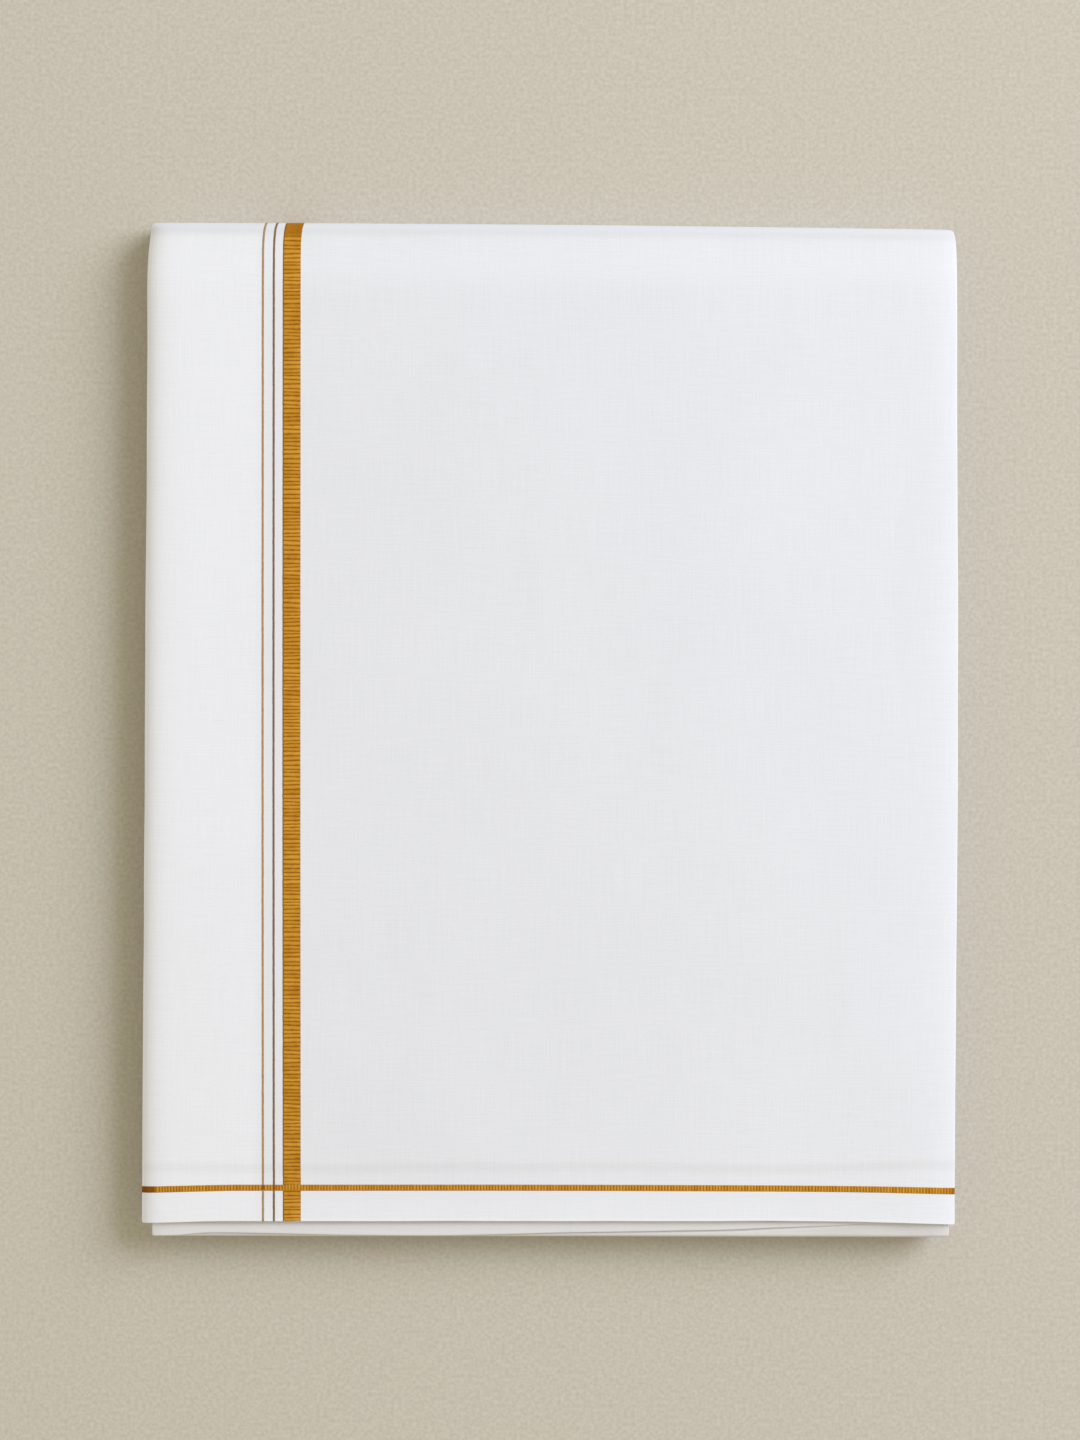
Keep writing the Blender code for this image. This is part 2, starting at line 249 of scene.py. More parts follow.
# Front edges of the second panel's leaves, which lie a little askew under the cover
Edge = namedtuple("Edge", "x first second third")
SECOND_FRONTS = table(
    Edge,
    (-0.1277, -0.1589, -0.1590, -0.1587),
    (-0.1190, -0.1587, -0.1588, -0.1585),
    (-0.1097, -0.1579, -0.1581, -0.1577),
    (-0.0720, -0.1585, -0.1586, -0.1583),
    (-0.0470, -0.1588, -0.1589, -0.1586),
    (-0.0219, -0.1586, -0.1588, -0.1584),
    (0.0032, -0.1579, -0.1581, -0.1577),
    (0.0283, -0.1575, -0.1578, -0.1573),
    (0.0472, -0.1572, -0.1576, -0.1570),
    (0.0597, -0.1569, -0.1574, -0.1567),
    (0.0691, -0.1565, -0.1570, -0.1564),
    (0.0785, -0.1562, -0.1566, -0.1561),
    (0.0880, -0.1558, -0.1561, -0.1557),
    (0.1000, -0.1552, -0.1554, -0.1551),
    (0.1277, -0.1547, -0.1548, -0.1547),
)
SECOND_LEAVES = (0.0, 0.25, 0.62, 1.0)
SECOND_WALL = 0.0012

# The hidden strips from the lowest up: how far each stays inside the stack's side edges
Strip = namedtuple("Strip", "left_inset right_inset")
STRIPS = table(
    Strip,
    (0.0006, 0.0009),
    (0.0013, 0.0003),
    (0.0004, 0.0012),
    (0.0015, 0.0006),
    (0.0007, 0.0014),
    (0.0016, 0.0004),
    (0.0005, 0.0011),
    (0.0002, 0.0002),
    (0.0, 0.0),
)
CLEARANCE = 0.0003
STRIP_PITCH = (INNER_HIGH.z - WALL - CLEARANCE) / len(STRIPS)
STRIPS_BASE = INNER_HIGH.z - STRIP_PITCH * len(STRIPS)

# The turned folds at the front, each round the strips that it joins: how far forward its middle lies, how
# much further forward its right end is than its left, and how far both ends draw back
FrontFold = namedtuple("FrontFold", "first count y lean bow")
FRONT_FOLDS = table(
    FrontFold,
    (0, 1, -0.1582, 0.0003, 0.0002),
    (1, 2, -0.1574, -0.0005, 0.0),
    (3, 2, -0.1588, 0.0004, 0.0003),
    (5, 2, -0.1578, -0.0003, 0.0001),
    (7, 2, -0.1594, 0.0004, 0.0),
)

# How far in from a stack's outline each ring of its top and underside lies
CAP_INSETS = (
    0.0004, 0.0008, 0.0012, 0.0016, 0.0020, 0.0023, 0.0026, 0.0029, 0.0032, 0.0035, 0.0039, 0.0044, 0.0055,
    0.0120, 0.0300,
)

# How far the uppermost turned fold swells up in front of the second panel
Swell = namedtuple("Swell", "x rise")
FOLD_SWELL = table(
    Swell,
    (-0.1277, 0.0013),
    (-0.1190, 0.0012),
    (-0.1110, 0.0008),
    (0.0300, 0.0008),
    (0.0600, 0.0010),
    (0.0850, 0.0012),
    (0.0980, 0.0013),
    (0.1130, 0.0007),
    (0.1236, 0.0013),
    (0.1277, 0.0010),
)

# Where the swell starts under the panel's edge, how far on it is up, and how deep in the fold it fades out.
# Right of an x it slopes down towards the front by a share of its rise, over a reach.
SWELL_START, SWELL_FADE, SWELL_DEPTH = 0.0006, 0.0008, 0.0020
SWELL_SLOPE, SWELL_SLOPE_X, SWELL_SLOPE_OVER, SWELL_SLOPE_REACH = 0.5, 0.0720, 0.0200, 0.0040

# The imprint of the hidden layers' end: how far before the hem's end it lies, how far it strays, how it fades
IMPRINT_BACK, IMPRINT_STRAY, IMPRINT_FADE = 0.0017, 0.0007, 0.0040

# Where the cover starts to rise towards its free edge, over what distance, and how much less so on the right
RISE_START, RISE_LENGTH = HEM_LENGTH - 0.0035, 0.0150
RISE_LOST, RISE_LOST_X, RISE_LOST_OVER = 0.8, 0.0500, 0.0400

# Where the cover's cotton is whiter or, below zero, darker: by how much, from where, and over what distance.
# It is whiter left of the band, on the right and towards the free end. Painted light whitens the last
# millimetre of the free edge and the crest before the spine. Painted shade darkens the roll of the spine,
# most over its first bend.
Tint = namedtuple("Tint", "tone start over")
BORDER_TINT = Tint(1.8, -0.0885, 0.0050)
RIGHT_TINT = Tint(0.3, 0.0300, 0.0500)
END_TINT = Tint(0.9, 0.0150, 0.0130)
# Painted light: the last millimetre of the free edge, its end face too, is made whiter
PAINTED_EDGE_LIGHT = Tint(1.3, 0.0013, 0.0009)
# Painted light: a whiter stretch of the top just before the spine, fading out on the spine
PAINTED_CREST_LIGHT = Tint(0.6, TOP_RUN - 0.0200, 0.0120)
PAINTED_CREST_LIGHT_END = (TOP_RUN + 0.0030, 0.0030)
# Painted shade: the roll of the spine is made darker, and darker still over its first bend
PAINTED_SPINE_SHADE = Tint(-1.2, TOP_RUN - 0.0006, 0.0034)
PAINTED_SPINE_SHADE_END = (TOP_RUN + SPINE_RUN * 0.6, 0.0040)
PAINTED_BEND_SHADE = Tint(-1.3, TOP_RUN + 0.0056, 0.0022)

# How far apart two seeds lie in the noise that makes things uneven
SEED_STEPS = (7.31, 3.17, 5.73)


def linear(red, green, blue):
    """A screen colour from 0 to 255 as the linear values that a shader takes."""
    return tuple(((value / 255 + 0.055) / 1.055) ** 2.4 for value in (red, green, blue))


def length_property(name, description, default, precision=5):
    """A length that a user can change."""
    return FloatProperty(
        name=name, description=description, default=default, unit="LENGTH", precision=precision
    )


def colour_property(name, description, default):
    """A colour that a user can change."""
    return FloatVectorProperty(name=name, description=description, default=default, subtype="COLOR")


class DhotiClothSizes(PropertyGroup):
    """Sizes of the cotton layers."""

    lay: length_property("Lay", "How far the cloth lies inside the outer faces, for the gold's sake", 0.00012)
    imprint: length_property("Imprint", "How far the cover drops past the last hidden edge inside it", 0.0004)
    lift: length_property("Lift", "How far the cover's free edge rises again", 0.0003)
    ripple: length_property("Ripple", "Height of the broad unevenness of the pressed cloth", 0.00005)
    wander: length_property("Wander", "How far the leaves' edges stray in and out", 0.00022)
    weave_pitch: length_property("Weave pitch", "From one cotton thread to the next but one", 0.00042)


class DhotiGoldSizes(PropertyGroup):
    """Sizes of the woven gold lines."""

    band_width: length_property("Band width", "Width of the broad band", 0.0056, 4)
    rib_pitch: length_property("Rib pitch", "Mean distance between the band's ribs", 0.00124)
    line_width: length_property("Line width", "Width of the two thin lines", 0.00062)
    cross_width: length_property("Cross line width", "Width of the line across", 0.0019, 4)
    cross_pitch: length_property("Cross rib pitch", "Mean distance between the cross line's ribs", 0.00095)
    rise: length_property("Rise", "How far the highest ribs stand off the cotton", 0.00011)


class DhotiColours(PropertyGroup):
    """Colours of the cloth, its gold thread and the floor."""

    cover: colour_property("Cover", "White cotton on top", (0.836, 0.847, 0.893))
    # Painted shade: the second panel and the inner layers are the cover's white cotton, made darker
    second: colour_property("Second panel", "White cotton right under the cover", (0.785, 0.775, 0.785))
    inner: colour_property("Inner layers", "White cotton of the hidden strips", (0.765, 0.745, 0.740))
    # Gold by rib height: the crest partly painted highlight, the groove the brown ground and painted shade
    gold_crest: colour_property("Gold crest", "Gold on a rib's crest", linear(222, 166, 64))
    gold: colour_property("Gold", "Gold on a rib's flank", linear(192, 130, 30))
    gold_groove: colour_property("Gold groove", "Gold between two ribs", linear(146, 84, 6))
    gold_edge: colour_property("Gold edge", "Brown thread along the band's edges", linear(140, 80, 30))
    tan_line: colour_property("Outer line", "Tan thread of the outer thin line", linear(178, 146, 104))
    brown_line: colour_property("Near line", "Brown thread of the near thin line", linear(138, 106, 82))
    floor: colour_property("Floor", "Plain pale floor", (0.605, 0.565, 0.480))


class DhotiStage(PropertyGroup):
    """The camera and the lights."""

    camera_x: length_property("Camera X", "Camera's place across", -0.00304)
    camera_y: length_property("Camera Y", "Camera's place along", 0.00298)
    camera_height: length_property("Camera height", "Height over the floor", 1.079, 3)
    lens: FloatProperty(name="Lens", description="Focal length in millimetres", default=85.0)
    key_distance: length_property("Key distance", "Distance of the key light", 3.3, 3)
    key_size: length_property("Key size", "Side of the soft key light", 2.1, 3)
    key_azimuth: FloatProperty(
        name="Key azimuth", description="From +X towards +Y", default=math.radians(30), subtype="ANGLE"
    )
    key_elevation: FloatProperty(
        name="Key elevation", description="Height of the key light over the floor", default=math.radians(34),
        subtype="ANGLE",
    )
    key_power: FloatProperty(
        name="Key power", description="Strength of the key light", default=108.5, unit="POWER"
    )
    ambient: FloatProperty(name="Ambient", description="Strength of the light from all round", default=0.575)


def clamped(share):
    """Keeps a share between 0 and 1."""
    return min(1.0, max(0.0, share))


def smooth_share(share):
    """Eases a share from 0 to 1."""
    share = clamped(share)
    return share * share * (3 - 2 * share)


def rises(value, start, over):
    """Eases from 0 at a start to 1, over a distance."""
    return smooth_share((value - start) / over)


def falls(value, end, over):
    """Eases from 1 to 0 at an end, over a distance."""
    return smooth_share((end - value) / over)


def read_curve(rows, key, column, at):
    """The value of a column where the key column has the value at, on a smooth curve through the rows."""
    keys = [getattr(row, key) for row in rows]
    values = [getattr(row, column) for row in rows]
    if at <= keys[0]:
        return values[0]
    if at >= keys[-1]:
        return values[-1]
    k = next(n for n in range(len(keys) - 1) if at <= keys[n + 1])
    before, after = max(0, k - 1), min(len(keys) - 1, k + 2)
    span = keys[k + 1] - keys[k]
    start = (values[k + 1] - values[before]) / (keys[k + 1] - keys[before]) * span
    end = (values[after] - values[k]) / (keys[after] - keys[k]) * span
    t = (at - keys[k]) / span
    low = (2 * t**3 - 3 * t**2 + 1) * values[k] + (t**3 - 2 * t**2 + t) * start
    high = (3 * t**2 - 2 * t**3) * values[k + 1] + (t**3 - t**2) * end
    return low + high


def stray(seed, *place):
    """A smooth uneven value from -1 to 1 at a place, the same in each run."""
    spot = Vector([seed * step for step in SEED_STEPS])
    for axis, value in enumerate(place):
        spot[axis] += value
    return max(-1.0, min(1.0, 1.6 * noise.noise(spot)))


def corner_inset(gap, radius=CORNER_ROUND):
    """How far an edge draws in at a distance from the end of the cloth, so that its corner is round."""
    short = max(0.0, radius - max(0.0, gap))
    return radius - math.sqrt(radius * radius - short * short)


def graded(start, end, first, widest, growth=1.25):
    """Places from start to end, both included, close together at both ends."""
    steps = [first]
    while 2 * sum(steps) < end - start:
        steps.append(min(widest, steps[-1] * growth))
    steps += steps[::-1]
    scale = (end - start) / sum(steps)
    places = [start]
    for step in steps:
        places.append(places[-1] + step * scale)
    return places


def side_edges(y, spread):
    """The real left and right edges at a place along the packet. Spread is 1 on the cover's top."""
    found = []
    for column in ("left", "right"):
        stack = read_curve(STACK_SIDES, "y", column, y)
        cover = read_curve(COVER_SIDES, "y", column, y)
        found.append(stack + (cover - stack) * spread)
    return found


def spread_at(z):
    """How far a height belongs to the cover's top, which spreads wider than the rest."""
    return clamped((z - WALL) / (HEIGHT - 2 * WALL))


def settle(x, y, z, spread=0.0):
    """Takes a point of the square packet to its place in the real one."""
    left, right = side_edges(y, spread)
    cover_left, cover_right = side_edges(y, 1.0)
    x_real = x * (-left if x < 0 else right) / HALF_WIDTH
    aside = clamped(x / WIDTH + 0.5)
    y_real = y - SPINE_SKEW * aside**SKEW_CURVE * max(0.0, y) / BACK
    drop = LEFT_DROP * math.exp(-max(0.0, x_real - cover_left) / LEFT_FADE)
    drop += RIGHT_DROP * math.exp(-max(0.0, cover_right - x_real) / RIGHT_FADE)
    drop += SPINE_DROP * falls(BACK - y, SPINE_SLOPE_START, SPINE_SLOPE_START - SPINE_SLOPE_END)
    return Vector((x_real, y_real, z * (1 - drop / HEIGHT)))


# How far a crease wanders aside, in its own widths, how often, and how far it fades out past both ends
CREASE_BEND, CREASE_TURNS, CREASE_PAST = 0.8, 3.1, 0.3


def crease_height(creases, x, along):
    """How far the creases raise the cloth at a place on the cover's run."""
    height = 0.0
    for crease in creases:
        length = math.hypot(crease.dx, crease.dalong)
        ahead = ((x - crease.x) * crease.dx + (along - crease.along) * crease.dalong) / length
        aside = ((x - crease.x) * crease.dalong - (along - crease.along) * crease.dx) / length
        share = ahead / length
        bend = crease.width * CREASE_BEND * math.sin(CREASE_TURNS * share)
        if -CREASE_PAST < share < 1 + CREASE_PAST:
            ends = smooth_share(min(share + CREASE_PAST, 1 + CREASE_PAST - share) / 0.5)
            height += crease.rise * ends * math.exp(-(((aside - bend) / crease.width) ** 2))
    return height


class CoverShape:
    """Where the cover's cloth lies, from its free edge to the end of its underside."""

    def __init__(self, sizes):
        self.lay, self.imprint, self.lift = sizes.lay, sizes.imprint, sizes.lift
        self.ripple, self.wander = sizes.ripple, sizes.wander

    def run(self, along):
        """The outer line of the square packet at a distance along the cover, and the way out of the cloth."""
        if along <= TOP_RUN:
            return TOP_FRONT + along, HEIGHT, 0.0, 1.0
        if along >= TOP_RUN + SPINE_RUN:
            return SPINE_START - (along - TOP_RUN - SPINE_RUN), 0.0, 0.0, -1.0
        back = read_curve(SPINE_TURNS, "along", "back", along - TOP_RUN)
        up = read_curve(SPINE_TURNS, "along", "up", along - TOP_RUN)
        steep_back = abs(back / SPINE_DEPTH) ** (SPINE_SQUARENESS - 1) / SPINE_DEPTH
        steep_up = abs(up / MIDDLE_HEIGHT) ** (SPINE_SQUARENESS - 1) / MIDDLE_HEIGHT
        out = Vector((steep_back, math.copysign(steep_up, up))).normalized()
        return SPINE_START + back, MIDDLE_HEIGHT + up, out.x, out.y

    def relief(self, x, along):
        """How far the outer face stands out from its plain place."""
        if along > TOP_RUN + SPINE_RUN:
            ripple = self.ripple * (stray(5, x * 16, along * 13) - 1) / 2
            return min(0.0, ripple + crease_height(BASE_CREASES, x, along))
        height = self.ripple * stray(1, x * 17, along * 11) + crease_height(TOP_CREASES, x, along)
        step = HEM_LENGTH - IMPRINT_BACK + IMPRINT_STRAY * stray(2, x * 24)
        drop = self.imprint * (1 + 0.2 * stray(3, x * 13))
        height -= drop * smooth_share((step - along) / IMPRINT_FADE + 0.5)
        return min(self.lay, height) + self.risen(x, along)

    def risen(self, x, along):
        """How far the cover has risen off what lies under it, towards its free edge."""
        share = clamped((RISE_START - along) / RISE_LENGTH)
        kept = 1 - RISE_LOST * rises(x, RISE_LOST_X, RISE_LOST_OVER)
        return self.lift * share**2 * (1 + 0.25 * stray(4, x * 21)) * kept

    def place(self, x, along, depth):
        """The real place of a point at x in the square packet, so far along and so deep in the cloth."""
        y, z, out_y, out_z = self.run(along)
        corner = LEFT_CREEP if x < 0 else RIGHT_CREEP
        creep = corner.forward * max(0.0, 1 - (HALF_WIDTH - abs(x)) / corner.reach) ** 2
        creep *= max(0.0, 1 - along / HEM_LENGTH)
        y -= out_y * depth + creep
        z -= out_z * depth
        return settle(x, y, z, spread_at(z))

    def surface(self, x_real, along, out=0.0):
        """The place on the outer face at a real x, or so far out from it."""
        y, z = self.run(along)[:2]
        left, right = side_edges(y, spread_at(z))
        x = x_real * HALF_WIDTH / (-left if x_real < 0 else right)
        return self.place(x, along, self.lay - self.relief(x_real, along) - out)

    def side_inset(self, side, leaf, along):
        """How far a leaf's edge stays inside the packet's side at a distance along the cover."""
        y = self.run(along)[0]
        inset = COVER_LEAF_INSETS[leaf] - COVER_BULGES[side]
        inset += self.wander * 0.5 * (1 + stray(11 + leaf + 5 * side, along * 31))
        inset += corner_inset(min(along, WHOLE_RUN - along), CORNER_ROUND * 0.6)
        return inset + corner_inset(BACK - y)


def nose(insets, leaves, wall):
    """A layered edge from one face to the other: pairs of (share of the wall, distance in from the side)."""
    found = []
    radii = [(low - high) * wall / 2 for high, low in zip(leaves, leaves[1:])]
    for leaf, radius in enumerate(radii):
        high, low = leaves[leaf], leaves[leaf + 1]
        if leaf:
            found.append((high, max(insets[leaf] + radius, insets[leaf - 1] + radii[leaf - 1]) + LEAF_GROOVE))
        for step in range(1 if leaf else 0, LEAF_TURNS + (leaf == len(radii) - 1)):
            turn = math.pi * step / LEAF_TURNS
            share = high + (low - high) * (1 - math.cos(turn)) / 2
            found.append((share, insets[leaf] + radius * (1 - math.sin(turn))))
    return found


def skin(name, rings, maps, tones=None):
    """A closed skin through rings of points: a grid rolled into a tube, welded and filled at its ends.

    Maps gives each point's place in the flat cloth, with one more point a ring than the rings have.
    """
    bm = bmesh.new()
    around = len(rings[0])
    bmesh.ops.create_grid(bm, x_segments=around, y_segments=len(rings) - 1, size=1.0)
    flat = bm.loops.layers.uv.new("cloth")
    tone = bm.verts.layers.float.new("tone")
    bm.verts.ensure_lookup_table()
    for index, vert in enumerate(bm.verts):
        row, step = divmod(index, around + 1)
        vert.co = rings[row][step % around]
        vert[tone] = tones[row][step % around] if tones else 0.0
    for face in bm.faces:
        for loop in face.loops:
            row, step = divmod(loop.vert.index, around + 1)
            loop[flat].uv = maps[row][step]
    seam = [vert for vert in bm.verts if vert.index % (around + 1) in (0, around)]
    bmesh.ops.remove_doubles(bm, verts=seam, dist=1e-7)
    bmesh.ops.holes_fill(bm, edges=[edge for edge in bm.edges if edge.is_boundary], sides=0)
    bmesh.ops.recalc_face_normals(bm, faces=bm.faces)
    mesh = bpy.data.meshes.new(name)
    bm.to_mesh(mesh)
    bm.free()
    mesh.shade_smooth()
    return mesh


def show(name, data):
    """Makes data an object of the scene."""
    shown = bpy.data.objects.new(name, data)
    bpy.context.scene.collection.objects.link(shown)
    return shown


def add_piece(name, mesh, material):
    """Makes a mesh a shown piece of the packet."""
    mesh.materials.append(material)
    piece = show(name, mesh)
    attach(piece, "root")
    return piece


def girths(ring):
    """How far round a ring each point lies, with its first point once more at the end."""
    found = [0.0]
    for here, there in zip(ring, ring[1:] + ring[:1]):
        found.append(found[-1] + (there - here).length)
    return found


# The first and the widest step between two points of the cover, in metres along each stretch of its run and
# in shares across it, and how fast the steps grow on its top
HEM_STEPS = (0.0003, 0.0008)
TOP_STEPS = (0.0009, 0.0026, 1.12)
SPINE_STEPS = (0.0008, 0.0010)
BASE_STEPS = (0.0008, 0.0042)
ACROSS_STEPS = (0.0015, 0.0095)


def cover_rows():
    """Places along the cover, each with the part of the wall that is there."""
    runs = graded(FREE_END[-1].run, HEM_LENGTH, *HEM_STEPS)[1:]
    runs += graded(HEM_LENGTH, TOP_RUN, *TOP_STEPS)[1:]
    runs += graded(TOP_RUN, TOP_RUN + SPINE_RUN, *SPINE_STEPS)[1:]
    runs += graded(runs[-1], WHOLE_RUN - BASE_END[0].run, *BASE_STEPS)[1:-1]
    rows = [*FREE_END, *(EndRow(run, 0.0, 1.0) for run in runs)]
    return rows + [EndRow(WHOLE_RUN - end.run, end.high, end.low) for end in BASE_END]


def tone_and_painted_light(x, along):
    """How much whiter or, below zero, darker the cover's cotton is at a place, painted light and shade
    included.
    """
    border = BORDER_TINT.tone * falls(x, *BORDER_TINT[1:])
    right = RIGHT_TINT.tone * rises(x, *RIGHT_TINT[1:])
    # Whiter towards the free end, with painted light on its last millimetre
    end = END_TINT.tone * falls(along, *END_TINT[1:]) + PAINTED_EDGE_LIGHT.tone * falls(along, *PAINTED_EDGE_LIGHT[1:])
    # Painted light on the crest before the spine
    crest = PAINTED_CREST_LIGHT.tone * rises(along, *PAINTED_CREST_LIGHT[1:]) * falls(along, *PAINTED_CREST_LIGHT_END)
    # Painted shade on the roll of the spine, deepest over its first bend
    spine = rises(along, *PAINTED_SPINE_SHADE[1:]) * falls(along, *PAINTED_SPINE_SHADE_END)
    bend = spine * falls(along, *PAINTED_BEND_SHADE[1:])
    return max(border, right, end, crest) * (1 - spine) + PAINTED_SPINE_SHADE.tone * spine + PAINTED_BEND_SHADE.tone * bend


# The share of the wall that each leaf takes where its end frays, how far the uppermost leaf frays beside the
# others, and the columns of points on each half of the inner face
FRAYED_LEAF = 0.37
TOP_LEAF_FRAY = 0.4
HIDDEN_COLUMNS = 9


def cover_ring(shape, row, shares, hidden_shares):
    """The closed outline across the cover at one place along it, and its cotton's tone there:
    whiter cotton, painted light and painted shade.

    It goes along half the inner face, the left nose, the outer face, the right nose and the other half.
    """
    noses = []
    for side in (0, 1):
        insets = [shape.side_inset(side, leaf, row.run) for leaf in range(3)]
        noses.append(nose(insets, LEAVES, WALL - shape.lay))

    def point(x, share):
        part = row.high + (row.low - row.high) * share
        outer = shape.lay - shape.relief(x, row.run)
        inner = WALL - shape.risen(x, row.run)
        leaf = min(2, int(part / FRAYED_LEAF))
        fray = max(0.0, 1 - row.run / END_WANDER_FADE) * shape.wander * stray(31 + leaf, x * 55)
        along = max(0.0, row.run + (fray if leaf else TOP_LEAF_FRAY * fray))
        return shape.place(x, along, outer + (inner - outer) * part)

    left_nose = [(-HALF_WIDTH + inset, share) for share, inset in noses[0]]
    right_nose = [(HALF_WIDTH - inset, share) for share, inset in noses[1]]
    low, high = left_nose[0][0], right_nose[0][0]
    hidden_low, hidden_high = left_nose[-1][0], right_nose[-1][0]
    spots = [(hidden_low * share, 1.0) for share in hidden_shares]
    spots += left_nose[::-1]
    spots += [(low + (high - low) * share, 0.0) for share in shares]
    spots += right_nose
    spots += [(hidden_high * share, 1.0) for share in reversed(hidden_shares[1:])]
    return [point(*spot) for spot in spots], [tone_and_painted_light(x, row.run) for x, share in spots]


def build_cover(sizes, colours):
    """The cover's cloth: one run of five layers, with their folds and selvedge at its sides."""
    shape = CoverShape(sizes)
    shares = graded(0.0, 1.0, *ACROSS_STEPS)[1:-1]
    hidden_shares = [k / HIDDEN_COLUMNS for k in range(HIDDEN_COLUMNS)]
    rows = cover_rows()
    rings, tones = zip(*(cover_ring(shape, row, shares, hidden_shares) for row in rows))
    around = girths(rings[len(rings) // 3])
    middle = around[-1] / 2
    maps = [[(u - middle, row.run) for u in around] for row in rows]
    mesh = skin("cover_cloth", rings, maps, tones)
    cloth = cotton("cover_cotton", colours.cover, sizes.weave_pitch)
    piece = add_piece("cover_cloth", mesh, cloth)
    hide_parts("cover_panel")
    return piece


def back_edge(z):
    """How far back a hidden layer at this height reaches, clear of the inside of the spine."""
    deep = SPINE_DEPTH - WALL - CLEARANCE
    high = MIDDLE_HEIGHT - WALL - CLEARANCE
    share = min(1.0, abs(z - MIDDLE_HEIGHT) / high)
    return SPINE_START + deep * (1 - share**SPINE_SQUARENESS) ** (1 / SPINE_SQUARENESS)


# One level of a stack: its height, functions that give how far in its two sides lie at a y, and one that
# gives its front edge at an x
Level = namedtuple("Level", "z left right front")


def plan_ring(level, inset, shares):
    """The settled outline of one level, seen from above, with small round corners."""
    z, radius = level.z, STACK_CORNER
    back = back_edge(z) - inset
    back_start = back - radius
    front_left, front_right = (level.front(x) + inset + radius for x in (-HALF_WIDTH, HALF_WIDTH))

    def side_x(side, y):
        edge = level.left(y) if side < 0 else level.right(y)
        return side * (HALF_WIDTH - inset - edge)

    def corner(side, y, start):
        middle = Vector((side_x(side, y) - side * radius, y))
        turns = [start + math.pi / 2 * k / 4 for k in range(1, 4)]
        return [(middle.x + radius * math.cos(t), middle.y + radius * math.sin(t)) for t in turns]

    def between(start, end):
        return [start + (end - start) * share for share in shares]

    front_xs = between(side_x(-1, front_left) + radius, side_x(1, front_right) - radius)
    back_xs = between(side_x(-1, back_start) + radius, side_x(1, back_start) - radius)
    ring = [(x, level.front(x) + inset) for x in front_xs]
    ring += corner(1, front_right, -math.pi / 2)
    ring += [(side_x(1, y), y) for y in between(front_right, back_start)]
    ring += corner(1, back_start, 0.0)
    ring += [(x, back) for x in reversed(back_xs)]
    ring += corner(-1, back_start, math.pi / 2)
    ring += [(side_x(-1, y), y) for y in reversed(between(front_left, back_start))]
    ring += corner(-1, front_left, math.pi)
    sag = STACK_SAG * math.sin(math.pi * (z - STRIPS_BASE) / (HEIGHT - STRIPS_BASE))
    return [settle(x, y, z + sag * stray(41, x * 22, y * 22, z * 90) + fold_swell(x, y, z)) for x, y in ring]


def fold_swell(x, y, z):
    """How far a point of the uppermost turned fold swells up in front of the second panel."""
    if z > INNER_HIGH.z + 0.0001 or y > SECOND_FRONTS[-1].first:
        return 0.0
    edge = min(read_curve(SECOND_FRONTS, "x", leaf, x) for leaf in ("first", "second", "third"))
    ahead = clamped((edge - y) / SWELL_SLOPE_REACH)
    slope = 1 - SWELL_SLOPE * rises(x, SWELL_SLOPE_X, SWELL_SLOPE_OVER) * ahead
    rise = read_curve(FOLD_SWELL, "x", "rise", x) * slope
    return rise * falls(y, edge + SWELL_START, SWELL_FADE) * falls(INNER_HIGH.z - z, SWELL_DEPTH, SWELL_DEPTH)


def build_stack(name, levels, heights):
    """A closed solid through levels, its top and underside closed in steps.

    Heights gives how far up the flat cloth each level lies.
    """
    shares = graded(0.0, 1.0, *STACK_STEPS)
    rings = [plan_ring(levels[0], inset, shares) for inset in reversed(CAP_INSETS)]
    rings += [plan_ring(level, 0.0, shares) for level in levels]
    rings += [plan_ring(levels[-1], inset, shares) for inset in CAP_INSETS]
    around = girths(rings[len(rings) // 2])
    heights = [-inset for inset in reversed(CAP_INSETS)] + heights
    heights += [heights[-1] + inset for inset in CAP_INSETS]
    return skin(name, rings, [[(u, height) for u in around] for height in heights])


def stack_levels(base, thick, leaves, tips, front):
    """Levels through one run of the strip, whose leaves show as ridges at both sides.

    Tips gives for each side and leaf the seed, inset and stray of its edge. Front gives the front edge at a
    share and an x.
    """
    found = []
    for share, rounding in nose([0.0] * 3, leaves, thick)[:-1]:
        leaf = sum(share >= edge - 1e-6 for edge in leaves[1:-1])
        if any(math.isclose(share, edge, abs_tol=1e-6) for edge in leaves[1:-1]):
            rounding += LEAF_GROOVE

        def side(y, column, leaf=leaf, rounding=rounding):
            seed, inset, wander = tips[column][leaf]
            return max(0.0, inset + wander * stray(seed, y * 27)) + rounding

        found.append(
            Level(
                z=base + thick * share,
                left=lambda y, side=side: side(y, 0),
                right=lambda y, side=side: side(y, 1),
                front=lambda x, share=share: front(share, x),
            )
        )
    return found


def close_top(levels, z, inset, front):
    """Adds the level of a stack's top face, a little inside the last one."""
    last = levels[-1]
    levels.append(Level(z, lambda y: last.left(y) + inset, lambda y: last.right(y) + inset, front))


def edge_rounding(share, radius):
    """How far back a rounded front edge lies at a share of its height."""
    return radius * (1 - math.sqrt(max(0.0, 1 - (1 - 2 * share) ** 2)))


def second_tips(side, wander):
    """The seed, inset and stray of each of the second panel's three leaves at one side."""
    insets = [0.0001 + SECOND_LEAF_STEP * ((leaf + side + 1) % 3) for leaf in range(3)]
    return [(61 + 3 * side + leaf, inset, wander) for leaf, inset in enumerate(insets)]


